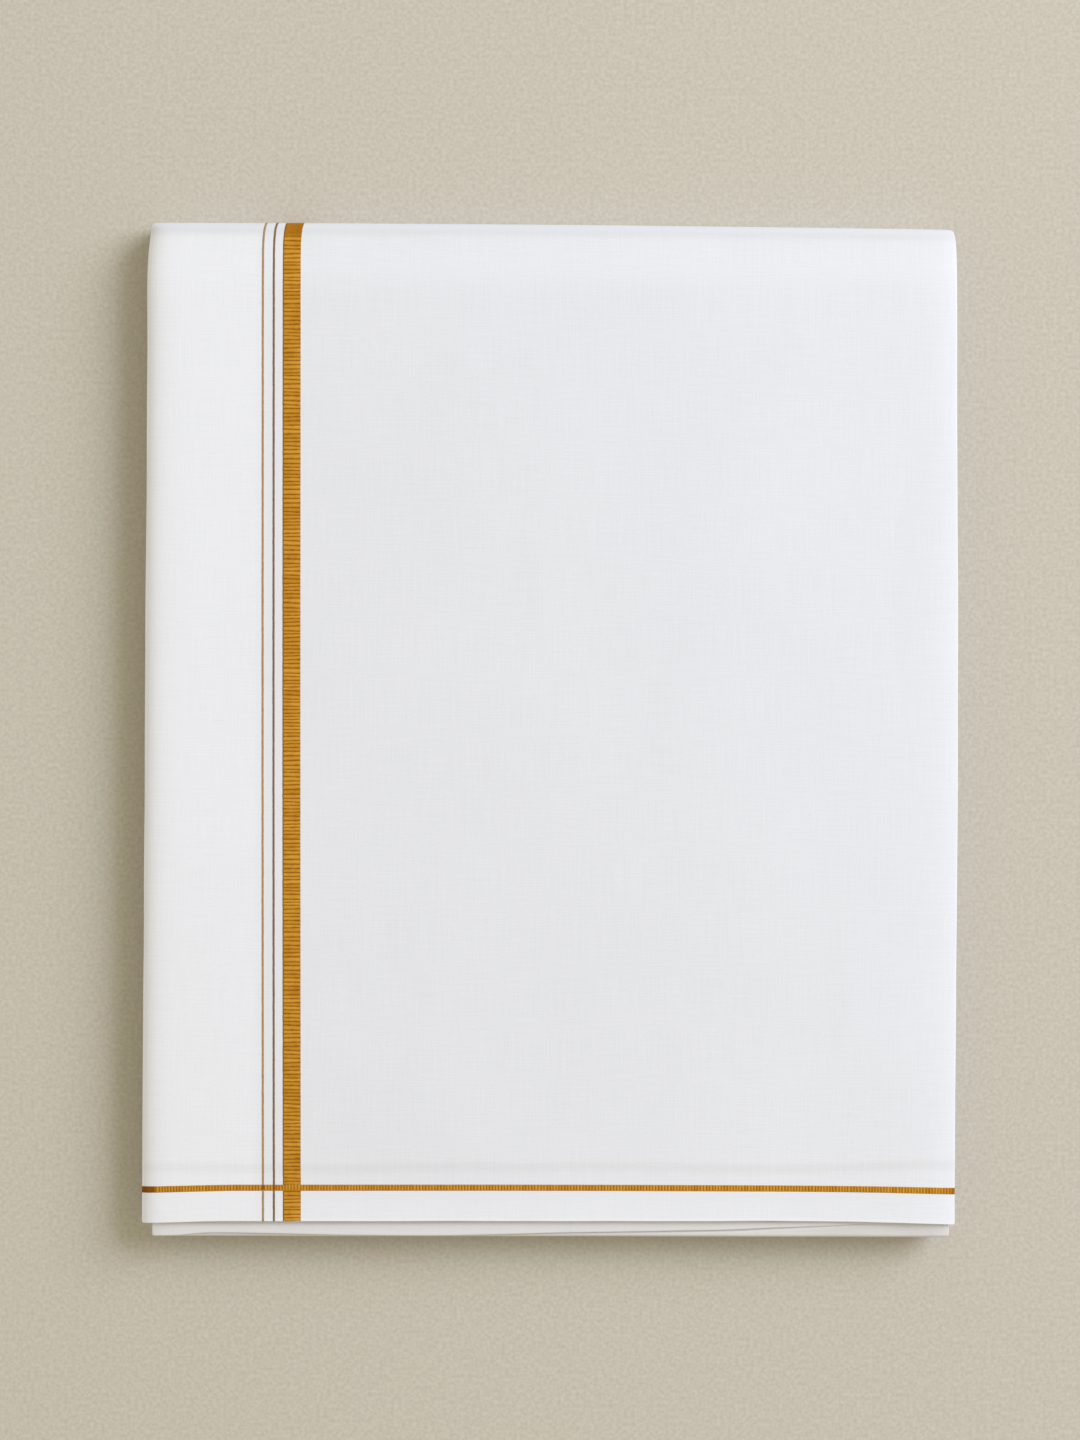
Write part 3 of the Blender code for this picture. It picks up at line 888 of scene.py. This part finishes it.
def build_second(sizes, colours):
    """The panel right under the cover. Its leaves' front edges show past the cover's, a little askew."""
    thick = SECOND_WALL
    base = SECOND_HIGH.z - thick
    names = ("third", "second", "first")

    def front(share, x):
        leaf = sum(share >= edge for edge in SECOND_LEAVES[1:-1])
        low, high = SECOND_LEAVES[leaf], SECOND_LEAVES[leaf + 1]
        local = clamped((share - low) / (high - low))
        rounding = edge_rounding(local, thick * (high - low) / 2)
        fray = SECOND_FRAY * stray(51 + leaf, x * 60)
        return read_curve(SECOND_FRONTS, "x", names[leaf], x) + rounding + fray

    tips = [second_tips(side, sizes.wander) for side in (0, 1)]
    levels = stack_levels(base, thick, SECOND_LEAVES, tips, front)
    close_top(levels, base + thick, SECOND_TOP_INSET, lambda x: front(1.0, x))
    mesh = build_stack("second_cloth", levels, [level.z - base for level in levels])
    # Painted shade: this panel's cotton is darker than the cover's
    cloth = cotton("second_cotton", colours.second, sizes.weave_pitch)
    piece = add_piece("second_cloth", mesh, cloth)
    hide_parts("second_panel")
    return piece


def strip_front(index, share, x):
    """The front edge of a hidden strip at a share of its height."""
    number = next(n for n, f in enumerate(FRONT_FOLDS) if f.first <= index < f.first + f.count)
    fold = FRONT_FOLDS[number]
    rounding = edge_rounding((index - fold.first + share) / fold.count, STRIP_PITCH * fold.count / 2)
    fray = (TOP_FOLD_FRAY if fold is FRONT_FOLDS[-1] else FOLD_FRAY) * (1 + stray(71 + number, x * 19))
    return fold.y + rounding - fold.lean * x / WIDTH + fold.bow * (2 * x / WIDTH) ** 2 + fray


def strip_tips(index, side, inset, wander):
    """The seed, inset and stray of each of a hidden strip's three leaves at one side."""
    insets = [inset + STRIP_LEAF_STEP * ((leaf * 2 + index + side) % 3) for leaf in range(3)]
    return [(101 + index * 7 + side * 3 + leaf, inset, wander) for leaf, inset in enumerate(insets)]


def build_inner(sizes, colours):
    """The hidden strips as one rounded solid, with leaves at its sides and turned folds in front."""
    levels = []
    for index, strip in enumerate(STRIPS):
        leaves = LEAVES if index % 2 else tuple(1 - edge for edge in reversed(LEAVES))
        tips = [strip_tips(index, side, inset, sizes.wander * 1.3) for side, inset in enumerate(strip)]
        levels += stack_levels(
            STRIPS_BASE + STRIP_PITCH * index, STRIP_PITCH, leaves, tips,
            lambda share, x, index=index: strip_front(index, share, x),
        )
    close_top(levels, INNER_HIGH.z, INNER_TOP_INSET, lambda x: strip_front(len(STRIPS) - 1, 1.0, x))
    mesh = build_stack("inner_layers", levels, [1.6 * (level.z - STRIPS_BASE) for level in levels])
    # Painted shade: the strips' cotton is darker than the cover's
    cloth = cotton("inner_cotton", colours.inner, sizes.weave_pitch)
    piece = add_piece("inner_layers", mesh, cloth)
    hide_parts("inner_folds")
    return piece


class WovenLine:
    """A line woven into the cover, put together ring by ring."""

    def __init__(self):
        self.rings, self.maps, self.tones = [], [], []

    def add(self, tops, flats, ends, tones):
        """Adds the closed outline across the line: its top from left to right, then its hidden underside."""
        self.rings.append(tops + ends[::-1])
        self.maps.append(flats + [flats[-1], flats[0], flats[0]])
        self.tones.append(tones)

    def lay(self, name, material):
        """Makes the whole line a piece."""
        return add_piece(name, skin(name, self.rings, self.maps, self.tones), material)


def uneven_places(length, pitch, spread, rng):
    """Places of grooves between ribs, unevenly spaced."""
    places = [0.0]
    while places[-1] < length:
        places.append(places[-1] + pitch * rng.uniform(1 - spread, 1 + spread))
    scale = length / places[-1]
    return [place * scale for place in places]


def cross_share(x, along, width):
    """How far a place lies inside the line across: 1 on it, 0 off it."""
    off = abs(along - read_curve(CROSS_LINE, "x", "along", x))
    return falls(off, width / 2 + 0.0002, 0.0003)


# The place on the spine where ribs are pressed smooth: how far along, its reach both ways and its fade
PRESSED_MIDDLE, PRESSED_REACH, PRESSED_FADE = TOP_RUN + 0.0048, 0.0034, 0.0022


def rib_share(along):
    """How far the ribs stand out: less where the cloth turns over the spine."""
    return rises(abs(along - PRESSED_MIDDLE), PRESSED_REACH, PRESSED_FADE)


def within_cover(along):
    """Keeps a place along a gold line clear of both ends of the cover."""
    return min(WHOLE_RUN - 0.0003, max(0.00008, along))


# The length of a line along the cover, how unevenly its ribs are spaced, how far its edges stand off the
# cotton, and how far its underside lies in it
LINE_RUN = WHOLE_RUN - 0.0006
RIB_SPREAD = 0.2
EDGE_RISE = 0.00002
LINE_SINK, BAND_SINK = 0.00003, 0.00004

# The band's ribs: columns across them, and at each part of a rib its height. How far their ends stray along
# the band, how weak the weakest is, how they wave, and how gold they are where they are pressed smooth
BAND_COLUMNS = (0.0, 0.035, 0.1, 0.26, 0.5, 0.74, 0.9, 0.965, 1.0)
BAND_RIB = ((0.0, 0.0), (0.2, 0.78), (0.5, 1.0), (0.8, 0.78))
RIB_SLANT, WEAKEST_RIB, RIB_WAVE, SMOOTH_TONE = 0.00020, 0.74, 0.00005, 0.34


def build_band(sizes, cloth, colours):
    """The broad gold band: thick ribs across it, unevenly packed, along the whole of the cover."""
    shape = CoverShape(cloth)
    rng = random.Random(7)
    grooves = uneven_places(LINE_RUN, sizes.rib_pitch, RIB_SPREAD, rng)
    lefts = [groove + rng.uniform(-RIB_SLANT, RIB_SLANT) for groove in grooves]
    rights = [groove + rng.uniform(-RIB_SLANT, RIB_SLANT) for groove in grooves]
    strengths = [rng.uniform(WEAKEST_RIB, 1.0) for groove in grooves]
    line = WovenLine()
    for k in range(len(grooves) - 1):
        for part, profile in BAND_RIB:
            tops, flats, shades = [], [], []
            for column in BAND_COLUMNS:
                here = lefts[k] + (rights[k] - lefts[k]) * column
                ahead = lefts[k + 1] + (rights[k + 1] - lefts[k + 1]) * column
                wave = RIB_WAVE * math.sin(math.pi * (column * 3 + k * 0.7))
                along = within_cover(here + (ahead - here) * part + wave)
                aside = sizes.band_width * (column - 0.5)
                x = read_curve(BAND_LINE, "along", "x", along) + aside + 0.00004 * stray(81, along * 700)
                plain = max(cross_share(x, along, sizes.cross_width), 1 - rib_share(along))
                rounding = 1 - 0.6 * (2 * abs(column - 0.5)) ** 6
                height = profile * strengths[k] * (1 - 0.7 * plain)
                tops.append(shape.surface(x, along, EDGE_RISE + (sizes.rise - EDGE_RISE) * height * rounding))
                flats.append((aside, along))
                # Tone by rib height: painted highlight on the crests, painted shade in the grooves
                shades.append(profile * strengths[k] * (1 - plain) + plain * SMOOTH_TONE)
            ends = [shape.surface(flats[n][0] + x - aside, flats[n][1], -BAND_SINK) for n in (0, -1)]
            line.add(tops, flats, ends, shades + [0.0, 0.0])
    return line.lay("gold_band", gold("band_gold", colours, sizes.band_width))


# The thin lines: the distance between their stitches, how their thread rises, and how much it varies in width
THIN_COLUMNS = (-0.5, -0.25, 0.25, 0.5)
THIN_PITCH = 0.0006
THIN_EDGE_RISE, THIN_RISE = 0.00003, 0.00009
THIN_WIDTHS = (0.93, 1.07)
CROSSING_TONE = 2.0


def build_thin_line(name, offset, seed, material, sizes, cloth):
    """A thin woven line beside the band."""
    shape = CoverShape(cloth)
    rng = random.Random(seed)
    line = WovenLine()
    for along in uneven_places(LINE_RUN, THIN_PITCH, RIB_SPREAD, rng):
        along = within_cover(along)
        middle = read_curve(BAND_LINE, "along", "x", along) + offset + 0.00003 * stray(seed, along * 500)
        crossing = cross_share(middle, along, sizes.cross_width)
        width = sizes.line_width * rng.uniform(*THIN_WIDTHS)
        tone = rng.uniform(0.0, 1.0) * (1 - crossing) + CROSSING_TONE * crossing
        tops, flats = [], []
        for share in THIN_COLUMNS:
            rise = THIN_EDGE_RISE + THIN_RISE * (1 - (1.4 * share) ** 2) * rng.uniform(0.85, 1.0)
            tops.append(shape.surface(middle + width * share, along, rise))
            flats.append((width * share, along))
        ends = [shape.surface(middle + width * share, along, -LINE_SINK) for share in (-0.5, 0.5)]
        line.add(tops, flats, ends, [tone] * 6)
    return line.lay(name, material)


# The line across: its columns, at each part of a rib its height, how high its ribs are, how far their ends
# stray, how weak the weakest is, and how far the line is turned down over both side edges
CROSS_COLUMNS = (-0.5, -0.42, -0.2, 0.2, 0.42, 0.5)
CROSS_RIB = ((0.0, 0.0), (0.25, 0.85), (0.5, 1.0), (0.75, 0.85))
CROSS_SPREAD = 0.1
CROSS_RISE, CROSS_SLANT, WEAKEST_CROSS_RIB = 0.00006, 0.00006, 0.78
CROSS_TURN = math.radians(115)

# Where its gold is worn off down to the brown thread: left of the first x, right of the second
CROSS_WORN = (-0.1243, 0.1263)


def gold_left(x):
    """How much of the gold is left on the line across."""
    return rises(x, CROSS_WORN[0], 0.0014) * (0.4 + 0.6 * falls(x, CROSS_WORN[1], 0.0010))


def build_cross_line(sizes, cloth, colours):
    """The line across the cover near its free edge: fine ribs, turned down over both side edges."""
    shape = CoverShape(cloth)
    rng = random.Random(19)
    radius = LEAVES[1] * (WALL - shape.lay) / 2
    edges = side_edges(TOP_FRONT + CROSS_LINE[0].along, 1.0)
    limits = [HALF_WIDTH - radius - shape.side_inset(side, 0, CROSS_LINE[-side].along) for side in (0, 1)]
    low, high = (edge * limit / HALF_WIDTH for edge, limit in zip(edges, limits))
    low, high = low - radius * CROSS_TURN, high + radius * CROSS_TURN
    grooves = [low + place for place in uneven_places(high - low, sizes.cross_pitch, CROSS_SPREAD, rng)]
    strengths = [rng.uniform(WEAKEST_CROSS_RIB, 1.0) for groove in grooves]
    tilts = [rng.uniform(-CROSS_SLANT, CROSS_SLANT) for groove in grooves]

    def woven(x, along, out):
        side = 0 if x < 0 else 1
        packed = x * HALF_WIDTH / abs(edges[side])
        over = (abs(packed) - limits[side]) / radius
        if over <= 0:
            return shape.surface(x, along, out)
        packed = math.copysign(limits[side] + (radius + out) * math.sin(over), x)
        sunk = shape.lay - shape.relief(packed, along) + radius * (1 - math.cos(over)) - out * math.cos(over)
        return shape.place(packed, along, sunk)

    line = WovenLine()
    for k in range(len(grooves) - 1):
        for part, profile in CROSS_RIB:
            at = grooves[k] + (grooves[k + 1] - grooves[k]) * part
            middle = read_curve(CROSS_LINE, "x", "along", at)
            width = sizes.cross_width * (0.97 + 0.08 * profile * strengths[k])
            tops, flats = [], []
            for column in CROSS_COLUMNS:
                x = at + tilts[k] * 2 * column
                rounding = 1 - 0.7 * (2 * abs(column)) ** 4
                rise = EDGE_RISE + CROSS_RISE * profile * strengths[k] * rounding
                tops.append(woven(x, middle + width * column, rise))
                flats.append((x, width * column))
            ends = [woven(at, middle + width * column, -LINE_SINK) for column in (-0.5, 0.5)]
            # Tone by rib height, painted highlight and shade, and brown where the gold is worn off
            shade = profile * strengths[k] * gold_left(at)
            line.add(tops, flats, ends, [shade] * len(tops) + [0.0, 0.0])
    return line.lay("cross_line", gold("cross_gold", colours, sizes.cross_width, turned=True))


class Shade:
    """A material's node tree, with short ways to add its nodes."""

    def __init__(self, name, roughness, specular):
        self.material = bpy.data.materials.new(name)
        self.material.use_nodes = True
        self.tree = self.material.node_tree
        self.shader = self.tree.nodes["Principled BSDF"]
        self.set("Roughness", roughness)
        self.set("Specular IOR Level", specular)

    def set(self, socket, value):
        """Sets one of the shader's own values."""
        self.shader.inputs[socket].default_value = value

    def node(self, kind, **values):
        """Adds a node and sets its settings."""
        made = self.tree.nodes.new(kind)
        for key, value in values.items():
            setattr(made, key, value)
        return made

    def link(self, source, target):
        """Joins an output to an input."""
        self.tree.links.new(source, target)

    def cloth(self):
        """The place on the flat cloth, how far across and along it that is, and the tone there."""
        flat = self.node("ShaderNodeUVMap", uv_map="cloth").outputs[0]
        parts = self.node("ShaderNodeSeparateXYZ")
        self.link(flat, parts.inputs[0])
        tone = self.node("ShaderNodeAttribute", attribute_name="tone").outputs["Fac"]
        return flat, parts.outputs[0], parts.outputs[1], tone

    def math(self, operation, first, second=None):
        """A sum on numbers or outputs."""
        made = self.node("ShaderNodeMath", operation=operation)
        for socket, value in zip(made.inputs, (first, second)):
            if value is None:
                continue
            if isinstance(value, (int, float)):
                socket.default_value = value
            else:
                self.link(value, socket)
        return made.outputs[0]

    def total(self, first, *others):
        """The sum of outputs."""
        for other in others:
            first = self.math("ADD", first, other)
        return first

    def noise(self, vector, stretch, detail=2.0, seed=0.0):
        """Noise that is as fine along each axis as the stretch says, in turns a metre."""
        mapping = self.node("ShaderNodeMapping")
        mapping.inputs["Scale"].default_value = stretch
        mapping.inputs["Location"].default_value = (seed, seed * 0.37, 0.0)
        self.link(vector, mapping.inputs["Vector"])
        made = self.node("ShaderNodeTexNoise")
        made.inputs["Scale"].default_value = 1.0
        made.inputs["Detail"].default_value = detail
        self.link(mapping.outputs[0], made.inputs["Vector"])
        return made.outputs["Fac"]

    def mix(self, share, first, second):
        """A colour between two, each a colour or an output."""
        made = self.node("ShaderNodeMix", data_type="RGBA")
        self.link(share, made.inputs["Factor"])
        for key, value in (("A", first), ("B", second)):
            socket = next(s for s in made.inputs if s.name == key and s.type == "RGBA")
            if isinstance(value, bpy.types.NodeSocket):
                self.link(value, socket)
            else:
                socket.default_value = tuple(value) + (1.0,)
        return next(s for s in made.outputs if s.type == "RGBA")

    def colour(self, output):
        """Gives the shader its colour."""
        self.link(output, self.shader.inputs["Base Color"])

    def bump(self, height, distance):
        """Turns a height into fine relief."""
        made = self.node("ShaderNodeBump")
        made.inputs["Distance"].default_value = distance
        made.inputs["Strength"].default_value = 1.0
        self.link(height, made.inputs["Height"])
        self.link(made.outputs[0], self.shader.inputs["Normal"])

    def range(self, value, low, high, to_low=0.0, to_high=1.0):
        """Takes a value from one range to another and keeps it inside."""
        made = self.node("ShaderNodeMapRange")
        for key, number in (("From Min", low), ("From Max", high), ("To Min", to_low), ("To Max", to_high)):
            made.inputs[key].default_value = number
        self.link(value, made.inputs["Value"])
        return made.outputs[0]


def shaded(colour, share):
    """A colour made darker or lighter, but never past white."""
    return [min(1.0, value * share) for value in colour]


def cotton(name, colour, pitch):
    """White plain-woven cotton: fine threads both ways, with slubs that run across the cloth."""
    shade = Shade(name, 0.82, 0.25)
    flat, across, along, tone = shade.cloth()
    turns = 2 * math.pi / pitch
    weft, warp = (shade.math("SINE", shade.math("MULTIPLY", axis, turns)) for axis in (across, along))
    weave = shade.math("MULTIPLY", weft, warp)
    slubs = shade.noise(flat, (70.0, 2300.0, 1.0), detail=3.0, seed=3.1)
    threads = shade.noise(flat, (1900.0, 55.0, 1.0), seed=9.7)
    clouds = shade.noise(flat, (26.0, 20.0, 1.0), detail=3.0, seed=5.3)
    fibres = shade.noise(flat, (2600.0, 2600.0, 1.0), seed=1.9)
    # The tone attribute shifts the colour too: on the cover it holds whiter cotton and painted light and
    # shade
    uneven = shade.total(
        shade.range(slubs, 0.25, 0.75, -0.7, 0.7),
        shade.range(threads, 0.25, 0.75, -0.6, 0.6),
        shade.range(clouds, 0.3, 0.7, -0.35, 0.35),
        shade.range(fibres, 0.3, 0.7, -0.8, 0.8),
        shade.math("MULTIPLY", tone, 1.6),
    )
    shade.colour(shade.mix(shade.range(uneven, -3.6, 3.6), shaded(colour, 0.90), shaded(colour, 1.095)))
    parts = ((weave, 0.5), (slubs, 1.1), (threads, 0.6), (fibres, 0.5))
    shade.bump(shade.total(*(shade.math("MULTIPLY", part, share) for part, share in parts)), 0.000030)
    shade.set("Sheen Weight", 0.07)
    shade.set("Sheen Roughness", 0.45)
    return shade.material


def gold(name, colours, width, turned=False):
    """Gold thread over a brown ground, brightest on the crests of its ribs and brown along its edges.
    The crests' brightness is partly painted highlight, and the grooves' brown ground partly painted shade.

    On a turned line, whose ribs run the other way, the thread does so too, and its edges stay gold.
    """
    shade = Shade(name, 0.5, 0.08)
    flat, aside, _, tone = shade.cloth()
    stretch = (5200.0, 900.0, 1.0) if turned else (900.0, 5200.0, 1.0)
    threads = shade.noise(flat, stretch, detail=3.0, seed=2.3)
    patches = shade.noise(flat, (300.0, 190.0, 1.0), seed=7.9)
    lit = shade.total(
        tone,
        shade.range(threads, 0.25, 0.75, -0.16, 0.16),
        shade.range(patches, 0.3, 0.7, -0.10, 0.10),
    )
    deep = shade.mix(shade.range(lit, 0.0, 0.55), colours.gold_groove, colours.gold)
    colour = shade.mix(shade.range(lit, 0.55, 1.0), deep, colours.gold_crest)
    if not turned:
        left = shade.range(aside, -width / 2 + 0.00042, -width / 2 + 0.00010)
        right = shade.range(aside, width / 2 - 0.00030, width / 2 - 0.00002, 0.0, 0.4)
        colour = shade.mix(right, shade.mix(left, colour, colours.gold_edge), colours.gold_edge)
    shade.colour(colour)
    shade.bump(threads, 0.00002)
    shade.set("Metallic", 0.25)
    return shade.material


def thread(name, colour, crossing_colour):
    """Coloured thread of a thin line, uneven along it and more golden where it crosses another line."""
    shade = Shade(name, 0.6, 0.1)
    flat, _, _, tone = shade.cloth()
    threads = shade.noise(flat, (3000.0, 900.0, 1.0), seed=4.1)
    lit = shade.total(shade.range(tone, 0.0, 1.0), shade.range(threads, 0.3, 0.7, -0.4, 0.4))
    made = shade.mix(shade.range(lit, -0.3, 1.3), shaded(colour, 0.86), shaded(colour, 1.14))
    shade.colour(shade.mix(shade.range(tone, 1.2, 1.9), made, crossing_colour))
    shade.bump(threads, 0.00002)
    return shade.material


def plaster(name, colour):
    """The floor's matt plaster, faintly mottled."""
    shade = Shade(name, 0.9, 0.1)
    place = shade.node("ShaderNodeTexCoord").outputs["Object"]
    spots = shade.noise(place, (850.0, 850.0, 850.0), detail=3.0)
    shade.colour(shade.mix(shade.range(spots, 0.3, 0.7), shaded(colour, 0.915), shaded(colour, 1.085)))
    return shade.material


# The key light's colour and the sky's
KEY_COLOUR = (0.773, 0.833, 1.0)
SKY_COLOUR = (1.0, 0.93, 0.74, 1.0)


def build_stage(stage, colours):
    """A plain pale floor, one large soft light, light from all round, and the camera straight above."""
    bm = bmesh.new()
    bmesh.ops.create_grid(bm, x_segments=8, y_segments=8, size=9.0)
    bmesh.ops.translate(bm, verts=bm.verts, vec=(0.0, 0.0, -0.0001))
    mesh = bpy.data.meshes.new("floor")
    bm.to_mesh(mesh)
    bm.free()
    mesh.materials.append(plaster("floor_plaster", colours.floor))
    floor = show("floor", mesh)

    light = bpy.data.lights.new("key", "AREA")
    light.shape = "SQUARE"
    light.size = stage.key_size
    light.energy = stage.key_power
    light.color = KEY_COLOUR
    key = show("key", light)
    turn = Euler((0.0, -stage.key_elevation, stage.key_azimuth))
    towards = turn.to_matrix() @ Vector((1.0, 0.0, 0.0))
    key.location = towards * stage.key_distance
    key.rotation_euler = towards.to_track_quat("Z", "Y").to_euler()

    world = bpy.data.worlds.new("studio")
    world.use_nodes = True
    background = world.node_tree.nodes["Background"]
    background.inputs["Color"].default_value = SKY_COLOUR
    background.inputs["Strength"].default_value = stage.ambient
    bpy.context.scene.world = world

    camera_data = bpy.data.cameras.new("camera")
    camera_data.lens = stage.lens
    camera = show("camera", camera_data)
    camera.location = (stage.camera_x, stage.camera_y, stage.camera_height)
    bpy.context.scene.camera = camera
    bpy.context.scene.view_settings.view_transform = "Standard"


class DHOTI_OT_lay_cover(Operator):
    """Lays the cover over the top, round the spine and along the underside"""

    bl_idname = "dhoti.lay_cover"
    bl_label = "Lay Cover"

    def execute(self, context):
        build_cover(context.scene.dhoti_cloth, context.scene.dhoti_colours)
        return {"FINISHED"}


class DHOTI_OT_lay_second_panel(Operator):
    """Lays the panel right under the cover"""

    bl_idname = "dhoti.lay_second_panel"
    bl_label = "Lay Second Panel"

    def execute(self, context):
        piece = build_second(context.scene.dhoti_cloth, context.scene.dhoti_colours)
        return {"FINISHED"}


class DHOTI_OT_fold_inner_layers(Operator):
    """Folds the hidden strips inside the cover"""

    bl_idname = "dhoti.fold_inner_layers"
    bl_label = "Fold Inner Layers"

    def execute(self, context):
        piece = build_inner(context.scene.dhoti_cloth, context.scene.dhoti_colours)
        return {"FINISHED"}


class DHOTI_OT_weave_gold_lines(Operator):
    """Weaves the band, the two thin lines and the line across into the cover"""

    bl_idname = "dhoti.weave_gold_lines"
    bl_label = "Weave Gold Lines"

    def execute(self, context):
        scene = context.scene
        sizes, cloth, colours = scene.dhoti_gold, scene.dhoti_cloth, scene.dhoti_colours
        woven = [build_band(sizes, cloth, colours), build_cross_line(sizes, cloth, colours)]
        tan = thread("tan_thread", colours.tan_line, colours.gold_edge)
        brown = thread("brown_thread", colours.brown_line, colours.gold_edge)
        woven.append(build_thin_line("outer_line", OUTER_LINE_OFFSET, 23, tan, sizes, cloth))
        woven.append(build_thin_line("near_line", NEAR_LINE_OFFSET, 29, brown, sizes, cloth))
        return {"FINISHED"}


class DHOTI_OT_set_stage(Operator):
    """Sets the floor, the lights and the camera"""

    bl_idname = "dhoti.set_stage"
    bl_label = "Set Stage"

    def execute(self, context):
        build_stage(context.scene.dhoti_stage, context.scene.dhoti_colours)
        return {"FINISHED"}


class DHOTI_PT_packet(Panel):
    """Lists the steps that make the packet and what they can be changed by"""

    bl_label = "Folded Dhoti Cloth"
    bl_idname = "DHOTI_PT_packet"
    bl_space_type = "VIEW_3D"
    bl_region_type = "UI"
    bl_category = "Dhoti"

    def draw(self, context):
        layout = self.layout
        for step in OPERATORS:
            layout.operator(step.bl_idname)
        for name, group in GROUPS.items():
            box = layout.box()
            box.label(text=group.__doc__)
            for key in group.__annotations__:
                box.prop(getattr(context.scene, name), key)


OPERATORS = (
    DHOTI_OT_set_stage,
    DHOTI_OT_lay_cover,
    DHOTI_OT_lay_second_panel,
    DHOTI_OT_fold_inner_layers,
    DHOTI_OT_weave_gold_lines,
)
GROUPS = {
    "dhoti_cloth": DhotiClothSizes,
    "dhoti_gold": DhotiGoldSizes,
    "dhoti_colours": DhotiColours,
    "dhoti_stage": DhotiStage,
}


def register():
    for kind in (*GROUPS.values(), *OPERATORS, DHOTI_PT_packet):
        bpy.utils.register_class(kind)
    for name, group in GROUPS.items():
        setattr(bpy.types.Scene, name, PointerProperty(type=group))


def unregister():
    for name in GROUPS:
        delattr(bpy.types.Scene, name)
    for kind in (DHOTI_PT_packet, *reversed(OPERATORS), *reversed(GROUPS.values())):
        bpy.utils.unregister_class(kind)


def main():
    register()
    bpy.ops.dhoti.set_stage()
    bpy.ops.dhoti.lay_cover()
    bpy.ops.dhoti.lay_second_panel()
    bpy.ops.dhoti.fold_inner_layers()
    bpy.ops.dhoti.weave_gold_lines()


if __name__ == "__main__":
    main()
